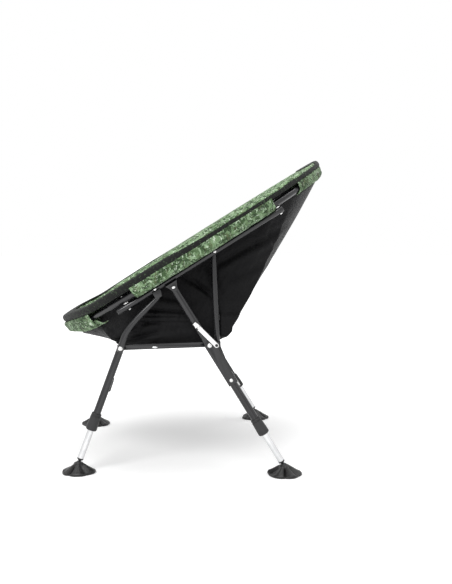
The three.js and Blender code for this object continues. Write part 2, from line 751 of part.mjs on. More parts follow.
const barAxis = new THREE.Vector3(Math.cos(barAngle), 0, Math.sin(barAngle));
const uprightFootX = REAR_HINGE_X + UPRIGHT_FOOT_BEHIND;
const uprightTop = atY(railPoint(UPRIGHT_AT, RAIL_TUBE / 2 - UPRIGHT_IN_RAIL), uprightSpread);
const uprightFoot = (() => {
  const along = (uprightFootX - FRONT_HINGE_X) / Math.cos(barAngle);
  const onBar = shift(frontHinge, barAxis, along);
  return new THREE.Vector3(onBar.x, uprightSpread, onBar.z + BAR_HEIGHT / 2 + GAP);
})();

function uprightTube() {
  const low = shift(uprightFoot, uprightTop.clone().sub(uprightFoot).normalize(), -OVERRUN);
  const tube = pipe(low, uprightTop, UPRIGHT_TUBE, UPRIGHT_TUBE - 2 * UPRIGHT_WALL, SMALL_SIDES);
  const block = 2 * (UPRIGHT_TUBE + OVERRUN);
  const below = box(block, block, block, 0, 0, -block / 2);
  below.rotateY(-barAngle);
  below.translate(uprightFoot.x, uprightFoot.y, uprightFoot.z);
  return cut(tube, [below]);
}

// Bottom bar with the spacer sleeve for the front leg on its inner face
function bottomBar() {
  const length = BAR_NOSE + hingesApart + BAR_TAIL;
  const bar = new THREE.BoxGeometry(length, BAR_WIDTH, BAR_HEIGHT);
  bar.translate(length / 2 - BAR_NOSE, 0, 0);
  bar.rotateY(-barAngle);
  bar.translate(FRONT_HINGE_X, barMiddle, FRONT_HINGE_Z);
  const sleeveEnd = frontLegSpread + LEG_TUBE / 2 + GAP;
  const sleeve = acrossY(frontHinge, sleeveEnd, barInner + BAR_WIDTH / 2, CROSS_TUBE, ROUND_SIDES);
  const holes = [
    acrossY(frontHinge, frontLegSpread, SIDE_SPREAD, hingeHole),
    acrossY(rearHinge, barInner - OVERRUN, SIDE_SPREAD, hingeHole),
  ];
  return cut(join([bar, sleeve]), holes);
}

function frontHingeBolt() {
  const from = atY(frontHinge, SIDE_SPREAD + STRUT_TUBE / 2);
  const to = atY(frontHinge, frontLegSpread - LEG_TUBE / 2);
  const length = from.distanceTo(to);
  const washerFrom = STRUT_TUBE + GAP;
  const washerTo = from.y - barOuter - GAP;
  const shank = HINGE_BOLT / 2;
  const washerRadius = HINGE_BOLT;
  const points = [
    ...boltHead,
    [shank, -GAP],
    [shank, washerFrom],
    [washerRadius, washerFrom],
    [washerRadius, washerTo],
    [shank, washerTo],
    [shank, length + GAP],
    [NUT_WIDTH / 2, length + GAP],
    [NUT_WIDTH / 2, length + NUT_RISE],
    [0, length + NUT_RISE],
  ];
  return profileRing(points, from, to, PIN_SIDES);
}

function rearHingeBolt() {
  const from = atY(rearHinge, SIDE_SPREAD + forkInside + FORK_PLATE);
  return bolt(from, atY(rearHinge, barInner), HINGE_BOLT);
}

// Rear leg fork in the leg's own frame: X to the rear of the leg, -Z down it, hinge at the origin
function forkOutline(ear) {
  const front = -FORK_TOP_ROUND;
  const back = forkInside + FORK_PLATE;
  const outline = new THREE.Shape();
  outline.moveTo(front, -FORK_LENGTH);
  outline.lineTo(front, 0);
  outline.absarc(0, 0, FORK_TOP_ROUND, Math.PI, Math.PI / 4, true);
  if (ear) {
    outline.lineTo(ear - FORK_EAR_SHOULDER, FORK_EAR_TOP);
    outline.quadraticCurveTo(
      ear + FORK_EAR_BULGE,
      -FORK_EAR_BULGE_DROP,
      ear,
      -HOOK_PIVOT_DOWN - FORK_EAR_BELOW_PIVOT,
    );
    outline.lineTo(back + FORK_CHEEK_LAP, -FORK_LENGTH * FORK_MIDDLE_SHARE);
  } else {
    outline.lineTo(back, 0);
  }
  outline.lineTo(back, -FORK_LENGTH * FORK_TAPER_SHARE);
  outline.lineTo(back - FORK_TAPER, -FORK_LENGTH);
  outline.closePath();
  return outline;
}

function rearLegFork() {
  const outer = plate(forkOutline(FORK_EAR), FORK_PLATE, forkInside);
  const inner = plate(forkOutline(0), FORK_PLATE, -forkInside - FORK_PLATE);
  const webLow = -FORK_LENGTH;
  const webHigh = FORK_TOP_ROUND / 2;
  const web = box(
    FORK_PLATE - GAP,
    2 * (forkInside + FORK_PLATE),
    webHigh - webLow,
    forkInside + (FORK_PLATE - GAP) / 2 + GAP,
    0,
    (webHigh + webLow) / 2,
  );
  const pinHigh = new THREE.Vector3(HOOK_PIVOT_BACK, forkInside + FORK_PLATE / 2, -HOOK_PIVOT_DOWN);
  const pinEnd = forkInside + FORK_PLATE + GAP + HOOK_PLATE + GAP;
  const pin = rod(pinHigh, atY(pinHigh, pinEnd), PIVOT_PIN, SMALL_SIDES);
  const headEnd = pinEnd + PIVOT_PIN_HEAD_RISE;
  const pinHead = rod(atY(pinHigh, pinEnd), atY(pinHigh, headEnd), PIVOT_PIN_HEAD, SMALL_SIDES);
  const hole = rod(
    new THREE.Vector3(0, -LEG_TUBE, 0),
    new THREE.Vector3(0, LEG_TUBE, 0),
    hingeHole,
    PIN_SIDES,
  );
  return cut(join([outer, inner, web, pin, pinHead]), [hole]);
}

const down = (length, y = 0) => new THREE.Vector3(0, y, -length);

function outerTube(start, collarStart, bore) {
  return pipe(down(start), down(collarStart + COLLAR_HOLD), LEG_TUBE, bore);
}

function frontOuterTube() {
  const tube = outerTube(FRONT_OUTER_START, FRONT_COLLAR_START, outerBore);
  const hole = rod(
    new THREE.Vector3(0, -LEG_TUBE, 0),
    new THREE.Vector3(0, LEG_TUBE, 0),
    hingeHole,
    PIN_SIDES,
  );
  return cut(tube, [hole]);
}

const outerBore = INNER_TUBE + 2 * SLIDE_CLEARANCE;

function collar() {
  const top = COLLAR_TOP / 2;
  const bottom = COLLAR_BOTTOM / 2;
  const tubeHole = LEG_TUBE / 2 + GAP;
  const innerHole = outerBore / 2;
  const points = [
    [tubeHole, 0],
    [tubeHole, -COLLAR_HOLD - GAP],
    [innerHole, -COLLAR_HOLD - GAP],
    [innerHole, -COLLAR_LENGTH],
    [bottom - COLLAR_CHAMFER, -COLLAR_LENGTH],
    [bottom, -COLLAR_LENGTH + COLLAR_CHAMFER],
    [top, -COLLAR_CHAMFER],
    [top - COLLAR_CHAMFER / 2, 0],
    [tubeHole, 0],
  ];
  const body = profileRing(points, new THREE.Vector3(), new THREE.Vector3(0, 0, 1));
  return cut(body, [tabSeat(GAP)]);
}

// The lock tab lies in a seat on the side that faces the middle of the chair
const tabLow = -COLLAR_LENGTH + TAB_UP;
const tabInner = COLLAR_BOTTOM / 2 - TAB_SUNK;

function tabSeat(room) {
  const height = TAB_HEIGHT + 2 * room;
  const depth = TAB_THICKNESS + OVERRUN;
  return box(
    TAB_WIDTH + 2 * room,
    depth,
    height,
    0,
    -tabInner + room - depth / 2,
    tabLow + TAB_HEIGHT / 2,
  );
}

function lockTab() {
  const y = -tabInner - TAB_THICKNESS;
  const outline = new THREE.Shape();
  outline.moveTo(0, 0);
  outline.lineTo(TAB_THICKNESS, 0);
  outline.lineTo(TAB_THICKNESS, TAB_HEIGHT * TAB_FLAT_SHARE);
  outline.lineTo(TAB_THICKNESS + TAB_NOSE, TAB_HEIGHT);
  outline.lineTo(TAB_NOSE * TAB_NOSE_BACK_SHARE, TAB_HEIGHT);
  outline.lineTo(0, TAB_HEIGHT * TAB_FLAT_SHARE);
  outline.closePath();
  const geometry = new THREE.ExtrudeGeometry(outline, { depth: TAB_WIDTH, bevelEnabled: false });
  geometry.rotateX(Math.PI / 2);
  geometry.rotateZ(-Math.PI / 2);
  geometry.translate(TAB_WIDTH / 2, y + TAB_THICKNESS, tabLow);
  return geometry;
}

function innerTube(top, pivot) {
  const outer = INNER_TUBE / 2;
  const inner = outer - INNER_WALL;
  const tubeEnd = -pivot + INNER_STOP;
  const ball = BALL / 2;
  const neck = BALL_NECK / 2;
  const points = [[0, -pivot - ball]];
  const neckAngle = Math.asin(neck / ball);
  for (let at = 1; at <= BALL_STEPS; at += 1) {
    const angle = ((Math.PI - neckAngle) * at) / BALL_STEPS;
    points.push([ball * Math.sin(angle), -pivot - ball * Math.cos(angle)]);
  }
  points.push([neck, tubeEnd]);
  points.push([outer - INNER_CHAMFER, tubeEnd]);
  points.push([outer, tubeEnd + INNER_CHAMFER]);
  points.push([outer, -top]);
  points.push([inner, -top]);
  points.push([inner, tubeEnd + INNER_PLUG]);
  points.push([0, tubeEnd + INNER_PLUG]);
  return profileRing(points, new THREE.Vector3(), new THREE.Vector3(0, 0, 1));
}

// Mud foot: a broad folded skirt round a ball socket, flat underneath
function mudFoot() {
  const socket = BALL / 2 + GAP;
  const mouth = Math.sqrt(socket ** 2 - SOCKET_MOUTH ** 2);
  const rows = [
    [FOOT_WIDTH / 2 - FOOT_SOLE_INSET, -FOOT_PIVOT_Z],
    [FOOT_WIDTH / 2, -FOOT_PIVOT_Z + FOOT_EDGE / 2],
    [FOOT_WIDTH / 2 - FOOT_EDGE_INSET, -FOOT_PIVOT_Z + FOOT_EDGE],
    [FOOT_SKIRT_WIDTH / 2, -FOOT_PIVOT_Z + FOOT_SKIRT_RISE],
    [FOOT_NECK_WIDTH / 2, -FOOT_PIVOT_Z + FOOT_TOP - FOOT_NECK_BELOW_TOP],
    [FOOT_NECK_WIDTH / 2 + FOOT_MOUTH_FLARE, SOCKET_MOUTH],
  ];
  const outside = rows.map(([radius, z], row) =>
    Array.from({ length: FOOT_STEPS }, (_, at) => {
      const angle = (TURN * at) / FOOT_STEPS;
      const wave = (1 - Math.cos(FOOT_LOBES * angle)) / 2;
      const r = radius - FOOT_LOBE_DEPTH * FOOT_LOBE_SHARES[row] * wave;
      return new THREE.Vector3(r * Math.cos(angle), r * Math.sin(angle), z);
    }),
  );
  const inside = [];
  const dips = BALL_STEPS;
  const mouthAngle = Math.asin(SOCKET_MOUTH / socket);
  for (let dip = dips - 1; dip >= 0; dip -= 1) {
    const angle = mouthAngle - ((mouthAngle + Math.PI / 2) * dip) / dips;
    const r = dip === 0 ? mouth : socket * Math.cos(angle);
    inside.push(
      Array.from({ length: FOOT_STEPS }, (_, at) => {
        const turn = (TURN * at) / FOOT_STEPS;
        return new THREE.Vector3(r * Math.cos(turn), r * Math.sin(turn), socket * Math.sin(angle));
      }),
    );
  }
  return ringedBody(outside.reverse(), inside.reverse(), {
    outer: new THREE.Vector3(0, 0, -FOOT_PIVOT_Z),
    inner: new THREE.Vector3(0, 0, -socket),
  });
}

// Hook in its own frame: pivot at the origin, +Z towards the stud, +X to the rear side
const hookPivot = shift(
  shift(rearHinge, rearDown, HOOK_PIVOT_DOWN),
  new THREE.Vector3(Math.cos(REAR_LEAN), 0, Math.sin(REAR_LEAN)),
  HOOK_PIVOT_BACK,
);
const toStud = studAt.clone().sub(hookPivot);
const hookReach = Math.hypot(toStud.x, toStud.z);
const hookLean = Math.atan2(toStud.x, toStud.z);

function latchHook() {
  const half = HOOK_WIDTH / 2;
  const notch = STUD_SHANK / 2 + HOOK_NOTCH_ROOM;
  const tip = hookReach + HOOK_TIP_RUN;
  const outline = new THREE.Shape();
  outline.moveTo(-half, 0);
  outline.absarc(0, 0, half, Math.PI, TURN, false);
  outline.lineTo(half, tip);
  outline.lineTo(-half + HOOK_JAW_STEP, tip);
  outline.lineTo(-half - HOOK_JAW_STEP, hookReach + notch);
  outline.lineTo(0, hookReach + notch);
  outline.absarc(0, hookReach, notch, Math.PI / 2, -Math.PI / 2, true);
  outline.lineTo(-half - HOOK_JAW_STEP, hookReach - notch);
  outline.lineTo(-half, hookReach - 2 * notch);
  outline.closePath();
  const flat = plate(outline, HOOK_PLATE, 0);
  const tab = box(HOOK_WIDTH - HOOK_TAB_INSET, HOOK_PLATE, HOOK_TAB_LENGTH, 0, 0, HOOK_TAB_LENGTH / 2);
  tab.rotateX(-HOOK_TAB_LEAN);
  tab.translate(0, HOOK_PLATE / 2, tip - HOOK_PLATE);
  const pivotHole = rod(
    new THREE.Vector3(0, -OVERRUN, 0),
    new THREE.Vector3(0, OVERRUN + HOOK_PLATE, 0),
    PIVOT_PIN + 2 * PIN_CLEARANCE,
    SMALL_SIDES,
  );
  return cut(join([flat, tab]), [pivotHole]);
}

// One leg: a group that leans about its hinge and carries the pieces down its own axis
function legGroup(side, name, spec) {
  const leg = new THREE.Group();
  leg.position.copy(atY(spec.hinge, spec.spread));
  leg.rotation.y = spec.turn;
  add(leg, `${side}_${name}_outer_tube`, spec.tube, blackPaint);
  const collarMesh = add(leg, `${side}_${name}_collar`, collar(), blackPlastic);
  collarMesh.position.z = -spec.collarStart;
  const tabMesh = add(leg, `${side}_${name}_lock_tab`, lockTab(), silver);
  tabMesh.position.z = -spec.collarStart;
  const engagedTop = spec.collarStart + COLLAR_HOLD - INNER_ENGAGED;
  add(leg, `${side}_${name}_inner_tube`, innerTube(engagedTop, spec.pivot), silver);
  const foot = add(leg, `${side}_${name}_mud_foot`, mudFoot(), rubber);
  foot.position.z = -spec.pivot;
  foot.rotation.y = -spec.turn;
  return leg;
}


for (const side of ["left", "right"]) {
  const frame = new THREE.Group();
  frame.scale.y = side === "left" ? -1 : 1;
  chair.add(frame);
  add(frame, `${side}_side_rail`, sideRail(), blackPaint);
  add(frame, `${side}_front_ring_bolt`, ringBolt(-BOLT_RUN), brightSteel);
  add(frame, `${side}_rear_ring_bolt`, ringBolt(BOLT_RUN), brightSteel);
  add(frame, `${side}_front_bracket`, frontBracket(), blackPaint);
  add(frame, `${side}_front_strut`, frontStrut(), blackPaint);
  add(frame, `${side}_rear_clevis`, rearClevis(), blackPaint);
  add(frame, `${side}_diagonal_tube`, diagonalTube(), blackPaint);
  add(frame, `${side}_latch_stud`, latchStud(), brightSteel);
  add(frame, `${side}_upright_tube`, uprightTube(), blackPaint);
  add(frame, `${side}_bottom_bar`, bottomBar(), blackPaint);
  add(frame, `${side}_front_hinge_bolt`, frontHingeBolt(), brightSteel);
  add(frame, `${side}_rear_hinge_bolt`, rearHingeBolt(), brightSteel);

  const rearLeg = legGroup(side, "rear", {
    hinge: rearHinge,
    spread: SIDE_SPREAD,
    turn: -REAR_LEAN,
    tube: outerTube(REAR_OUTER_START, REAR_COLLAR_START, outerBore),
    collarStart: REAR_COLLAR_START,
    pivot: REAR_LEG_RUN,
  });
  add(rearLeg, `${side}_rear_leg_fork`, rearLegFork(), blackPaint);
  frame.add(rearLeg);

  const hook = add(frame, `${side}_latch_hook`, latchHook(), brightSteel);
  hook.position.copy(atY(hookPivot, hookInner));
  hook.rotation.y = hookLean;

  frame.add(
    legGroup(side, "front", {
      hinge: frontHinge,
      spread: frontLegSpread,
      turn: FRONT_LEAN,
      tube: frontOuterTube(),
      collarStart: FRONT_COLLAR_START,
      pivot: FRONT_LEG_RUN,
    }),
  );
}

// Cross tubes from side to side
function frontCrossTube() {
  const middle = shift(frontHinge, barAxis, CROSS_AT);
  const end = barInner - GAP;
  return pipe(atY(middle, -end), atY(middle, end), CROSS_TUBE, CROSS_TUBE - 2 * RAIL_WALL);
}

const rearCrossAt = new THREE.Vector3(
  REAR_HINGE_X + REAR_CROSS_BACK,
  0,
  REAR_HINGE_Z + REAR_CROSS_UP,
);

function rearCrossTube() {
  const spread = uprightSpread - UPRIGHT_TUBE / 2 - GAP - REAR_CROSS_TUBE / 2;
  const corner = (y) => atY(rearCrossAt, y);
  const armEnd = (y) =>
    new THREE.Vector3(rearCrossAt.x - REAR_CROSS_ARM_REACH, y, rearCrossAt.z + REAR_CROSS_ARM_RISE);
  const armBend = (y) => corner(y).lerp(armEnd(y), REAR_CROSS_BEND / REAR_CROSS_ARM_RISE / 2);
  const innerEnd = (y) => corner(y - Math.sign(y) * REAR_CROSS_BEND);
  const points = [
    armEnd(-spread),
    ...bend(armBend(-spread), corner(-spread), innerEnd(-spread), ELBOW_STEPS),
    ...bend(innerEnd(spread), corner(spread), armBend(spread), ELBOW_STEPS),
    armEnd(spread),
  ];
  const square = new THREE.Vector3(REAR_CROSS_ARM_RISE, 0, REAR_CROSS_ARM_REACH).normalize();
  return sweptTube(points, square, REAR_CROSS_TUBE, REAR_CROSS_TUBE - 2 * RAIL_WALL);
}

add(chair, "front_cross_tube", frontCrossTube(), blackPaint);
add(chair, "rear_cross_tube", rearCrossTube(), blackPaint);

function hemRoll() {
  const end = HEM_LENGTH / 2;
  return pipe(
    atY(rearCrossAt, -end),
    atY(rearCrossAt, end),
    HEM_ROLL,
    REAR_CROSS_TUBE + 2 * GAP,
  );
}
add(chair, "rear_hem_roll", hemRoll(), blackCloth);

// Padded seat: a rounded rim over the ring, a shoulder that passes inside the side frames, then a bowl
function seatPad() {
  const [lowFrontX, lowFrontZ, lowRearX] = SHELL_LOW_LOOPS[SHELL_LOW_LOOPS.length - 1];
  const heelZ = SHELL_LOW_LOOPS[0][3];
  const rim = RIM_THICKNESS / 2;
  const angles = Array.from({ length: SEAT_STEPS }, (_, at) => (TURN * at) / SEAT_STEPS);
  const limit = (value, most) => Math.sign(value) * Math.min(Math.abs(value), most);
  const rimLoop = (radius, up) => angles.map((angle) => ringPoint(radius, angle, up));
  const shoulderLoop = (radius, half, up) =>
    angles.map((angle) => onRing(radius * Math.cos(angle), limit(radius * Math.sin(angle), half), up));
  const padFloor = (x) => {
    const slope = x < lowFrontX ? -PAD_FRONT_RISE : PAD_FLOOR_RISE;
    const overFloor = SHELL_THICKNESS + PAD_OVER_SHELL + slope * (x - lowFrontX) + lowFrontZ;
    const overStep = THREE.MathUtils.smoothstep(x, lowRearX - PAD_STEP_RUN, lowRearX);
    return overFloor + (heelZ + SHELL_THICKNESS + PAD_OVER_SHELL - overFloor) * overStep;
  };
  const bowlLoop = (share, thickness) =>
    angles.map((angle) => {
      const rearShare = THREE.MathUtils.smoothstep(Math.cos(angle), 0, PAD_REAR_COSINE);
      const straightShare = rearShare * THREE.MathUtils.smoothstep(share, 0, PAD_STRAIGHT_SHARE);
      const power = PAD_SIDE_POWER + (PAD_REAR_POWER - PAD_SIDE_POWER) * straightShare;
      const along = PAD_SHIFT * (1 - share ** 2) + share * SHOULDER_RADIUS * Math.cos(angle);
      const side = share * limit(SHOULDER_RADIUS * Math.sin(angle), SHOULDER_HALF_WIDTH);
      const point = onRing(along, side, SHOULDER_UP + thickness - PAD_DEPTH * (1 - share ** power));
      point.z = Math.max(point.z, padFloor(point.x) + thickness);
      return point;
    });
  const bottomOf = (thickness) => onRing(PAD_SHIFT, 0, SHOULDER_UP + thickness - PAD_DEPTH);
  const shares = Array.from(
    { length: BOWL_STEPS },
    (_, at) => 1 - ((at + PAD_FIRST_LOOP) / BOWL_STEPS) ** PAD_LOOP_POWER,
  );
  const under = [
    rimLoop(RIM_RADIUS + rim * RIM_ROUND_SHARE, RIM_UP - rim * RIM_ROUND_SHARE),
    rimLoop(RIM_RADIUS, RIM_UP - rim),
    rimLoop(SHELL_TOP_RADIUS + rim / 2, RIM_UP - rim * RIM_LIP_SHARE),
    shoulderLoop(SHOULDER_RADIUS, SHOULDER_HALF_WIDTH, SHOULDER_UP),
    ...shares.map((share) => bowlLoop(share, 0)),
  ];
  const top = [
    rimLoop(RIM_RADIUS + rim, RIM_UP),
    rimLoop(RIM_RADIUS + rim * RIM_ROUND_SHARE, RIM_UP + rim * RIM_ROUND_SHARE),
    rimLoop(RIM_RADIUS, RIM_UP + rim),
    rimLoop(RIM_RADIUS - rim * RIM_INNER_SHARE, RIM_UP + rim * RIM_ROUND_SHARE),
    ...shares.map((share) => bowlLoop(share, PAD_THICKNESS)),
  ];
  return ringedBody(under, top, { outer: bottomOf(0), inner: bottomOf(PAD_THICKNESS) });
}
add(chair, "seat_pad", seatPad(), camoCloth);

// The points of a skin moved inwards along its own normals, so that it has the same thickness all over
function movedInwards(rows, tip, thickness) {
  const count = rows[0].length;
  const sum = rows.map((row) => row.map(() => new THREE.Vector3()));
  const tipSum = new THREE.Vector3();
  const weigh = (points, sums) => {
    const normal = new THREE.Triangle(...points).getNormal(new THREE.Vector3());
    sums.forEach((each, at) => {
      const arms = [points[(at + 1) % 3], points[(at + 2) % 3]].map((point) => point.clone().sub(points[at]));
      each.addScaledVector(normal, arms[0].angleTo(arms[1]));
    });
  };
  rows.forEach((row, level) => {
    for (let at = 0; at < count; at += 1) {
      const next = (at + 1) % count;
      if (level === rows.length - 1) {
        weigh([row[at], row[next], tip], [sum[level][at], sum[level][next], tipSum]);
      } else {
        const below = rows[level + 1];
        const under = sum[level + 1];
        weigh([row[at], row[next], below[next]], [sum[level][at], sum[level][next], under[next]]);
        weigh([row[at], below[next], below[at]], [sum[level][at], under[next], under[at]]);
      }
    }
  });
  const move = (point, normal) => point.clone().addScaledVector(normal.normalize(), thickness);
  return {
    rows: rows.map((row, level) => row.map((point, at) => move(point, sum[level][at]))),
    tip: move(tip, tipSum),
  };
}

// Fabric shell: a lip over the rails, a waist between the side frames, then walls down to a flat floor, a
// step above the rolled hem
function seatShell() {
  const angles = Array.from({ length: SEAT_STEPS }, (_, at) => (TURN * at) / SEAT_STEPS);
  const limit = (value, most) => Math.sign(value) * Math.min(Math.abs(value), most);
  // Each loop dips below a pocket where it passes one
  const dipLoop = (radius, half, up) =>
    angles.map((angle) => {
      const c = Math.cos(angle);
      const pocketShare = THREE.MathUtils.smoothstep(Math.abs(c), POCKET_EDGE_COSINE, POCKET_FULL_COSINE);
      const pocketRadius = RING_RADIUS - POCKET_EDGE_INSET;
      const drop = (c > 0 ? REAR_POCKET_DROP : FRONT_POCKET_DROP) * (1 + POCKET_PUFF_SHARE);
      const pocketUp = up - SHELL_TOP_UP - drop - SHELL_UNDER_POCKET;
      const reach = radius + (pocketRadius - radius) * pocketShare;
      const side = limit(reach * Math.sin(angle), half);
      return onRing(reach * c, side, up + (pocketUp - up) * pocketShare);
    });
  const lip = dipLoop(SHELL_TOP_RADIUS, RING_RADIUS, SHELL_TOP_UP);
  const waist = dipLoop(SHELL_WAIST_RADIUS, SHELL_WAIST_HALF_WIDTH, SHELL_WAIST_UP);
  const lowLoop = ([frontX, frontZ, rearX, rearZ, inside]) =>
    angles.map((angle) => {
      const halfWidth = SIDE_SPREAD - inside;
      const c = Math.cos(angle);
      const s = Math.sin(angle);
      const squared = 1 + (1 / Math.max(Math.abs(c), Math.abs(s)) - 1) * SHELL_SQUARE_SHARE;
      const share = (1 + c * squared) / 2;
      return new THREE.Vector3(
        frontX + (rearX - frontX) * share,
        halfWidth * s * squared,
        frontZ + (rearZ - frontZ) * share,
      );
    });
  const lows = SHELL_LOW_LOOPS.map(lowLoop);
  const walls = SHELL_WALL_SHARES.map((share) =>
    waist.map((point, at) => point.clone().lerp(lows[0][at], share)),
  );
  const [frontX, frontZ, rearX, rearZ] = SHELL_LOW_LOOPS[SHELL_LOW_LOOPS.length - 1];
  const middle = new THREE.Vector3((frontX + rearX) / 2, 0, (frontZ + rearZ) / 2);
  const halfFloor = lows[lows.length - 1].map((point) => point.clone().lerp(middle, SHELL_FLOOR_SHARE));
  const outside = [lip, waist, ...walls, ...lows, halfFloor];
  const inside = movedInwards(outside, middle, SHELL_THICKNESS);
  return ringedBody(outside, inside.rows, { outer: middle, inner: inside.tip });
}
add(chair, "seat_shell", seatShell(), blackCloth);

const railTopRoom = RAIL_DROP - RAIL_TUBE / 2 - GAP; // ring tube's middle down to the rail
const padUnder = RIM_UP - RIM_THICKNESS / 2 - GAP;

// Fabric sleeves round the ring tube: an outline in the ring's section, swept over a stretch of the ring
function ringSleeve(from, to, downReach, puff) {
  const hole = RING_TUBE / 2 + 2 * GAP;
  const section = (grow, isHole) =>
    Array.from({ length: SLEEVE_SIDES }, (_, at) => {
      const angle = (TURN * at) / SLEEVE_SIDES;
      const c = Math.cos(angle);
      const s = Math.sin(angle);
      if (isHole) return [hole * c, hole * s];
      const cu = Math.sign(c) * Math.abs(c) ** SLEEVE_BOX_POWER;
      const su = Math.sign(s) * Math.abs(s) ** SLEEVE_BOX_POWER;
      const across = (c > 0 ? SLEEVE_OUT : SLEEVE_IN) * cu * grow;
      const high = (s > 0 ? padUnder : downReach * grow) * su;
      return [across, high];
    });
  const outside = [];
  const inside = [];
  for (const angle of ringAngles(from, to)) {
    const share = (angle - from) / (to - from);
    const grow = 1 + puff * Math.sin(Math.PI * share) ** 2;
    const place = ([across, up]) => ringPoint(RING_RADIUS + across, angle, up);
    outside.push(section(grow, false).map(place));
    inside.push(section(1, true).map(place));
  }
  return ringedBody(outside, inside, null);
}

add(
  chair,
  "front_pocket",
  ringSleeve(Math.PI - FRONT_POCKET_HALF, Math.PI + FRONT_POCKET_HALF, FRONT_POCKET_DROP, POCKET_PUFF_SHARE),
  camoCloth,
);
add(
  chair,
  "rear_pocket",
  ringSleeve(-REAR_POCKET_HALF, REAR_POCKET_HALF, REAR_POCKET_DROP, POCKET_PUFF_SHARE),
  camoCloth,
);
add(
  chair,
  "right_side_sleeve",
  ringSleeve(SIDE_SLEEVE_REAR, SIDE_SLEEVE_FRONT, railTopRoom - GAP, 0),
  camoCloth,
);
add(
  chair,
  "left_side_sleeve",
  ringSleeve(-SIDE_SLEEVE_FRONT, -SIDE_SLEEVE_REAR, railTopRoom - GAP, 0),
  camoCloth,
);

export default chair;
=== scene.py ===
"""A round padded folding chair for a lakeside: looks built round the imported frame. Metres, +X to the rear."""

import json
from math import asin, atan, atan2, copysign, cos, dist, exp, hypot, pi, radians, sin, sqrt

import bmesh
import bpy
import numpy as np
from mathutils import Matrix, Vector, noise


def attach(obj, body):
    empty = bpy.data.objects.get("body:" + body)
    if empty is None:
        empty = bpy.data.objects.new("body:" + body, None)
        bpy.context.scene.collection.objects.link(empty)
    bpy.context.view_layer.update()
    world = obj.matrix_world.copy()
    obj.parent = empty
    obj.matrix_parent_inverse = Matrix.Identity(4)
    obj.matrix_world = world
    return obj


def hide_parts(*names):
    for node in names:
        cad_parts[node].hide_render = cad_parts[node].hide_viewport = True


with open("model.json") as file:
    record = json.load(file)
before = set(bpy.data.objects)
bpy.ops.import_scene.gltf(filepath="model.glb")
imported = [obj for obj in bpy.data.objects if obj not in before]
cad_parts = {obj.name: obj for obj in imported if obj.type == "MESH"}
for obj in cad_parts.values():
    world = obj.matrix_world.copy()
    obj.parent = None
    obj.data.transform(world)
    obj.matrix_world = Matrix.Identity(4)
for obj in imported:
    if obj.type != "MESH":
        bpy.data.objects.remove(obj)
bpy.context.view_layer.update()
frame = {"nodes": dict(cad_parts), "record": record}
nodes = frame["nodes"]

# Sizes shared with the solids, in metres
RING_OFFSET = 0.0075
RING_HEIGHT = 0.587
RING_TILT = radians(32.2)
RING_RADIUS = 0.426
RING_TUBE = 0.018
FRONT_ARC_TUBE = 0.0144
SIDE_SPREAD = 0.3585
RAIL_DROP = 0.020
RAIL_TUBE = 0.016
RAIL_FRONT_RUN = 0.262
RAIL_REAR_RUN = 0.241
STRUT_TUBE = 0.016
LEG_TUBE = 0.020
REAR_HINGE = Vector((0.0320, SIDE_SPREAD, 0.345))
FRONT_HINGE = Vector((-0.1970, SIDE_SPREAD, 0.3385))
FRONT_LEG_SPREAD = 0.296
REAR_LEAN = radians(31.5)
FRONT_LEAN = radians(20.3)
FOOT_PIVOT_Z = 0.024
CROSS_X = -0.1090
CROSS_Z = 0.3410
FIT_GAP = 0.0003
RIM_RADIUS = 0.436
RIM_UP = 0.026
RIM_THICKNESS = 0.017
PAD_THICKNESS = 0.024
TURN = 2 * pi
NEAR_ZERO = 1e-5


def on_ring(along, side, up):
    return Vector((
        RING_OFFSET + along * cos(RING_TILT) - up * sin(RING_TILT),
        side,
        RING_HEIGHT + along * sin(RING_TILT) + up * cos(RING_TILT),
    ))


def ring_point(radius, angle, up):
    return on_ring(radius * cos(angle), radius * sin(angle), up)


RING_NORMAL = Vector((-sin(RING_TILT), 0, cos(RING_TILT)))


def smooth(value, low, high):
    share = min(1.0, max(0.0, (value - low) / (high - low)))
    return share * share * (3 - 2 * share)


def around(count):
    """Angles at even steps once round."""
    return [TURN * at / count for at in range(count)]


def ripple(x, y, z):
    """Smooth noise, from -1 to 1."""
    return noise.noise(Vector((x, y, z)))


# Colours are given as they show on screen, from 0 to 255
def tone(red, green, blue):
    def linear(value):
        share = value / 255
        return share / 12.92 if share <= 0.04045 else ((share + 0.055) / 1.055) ** 2.4

    return (linear(red), linear(green), linear(blue), 1.0)


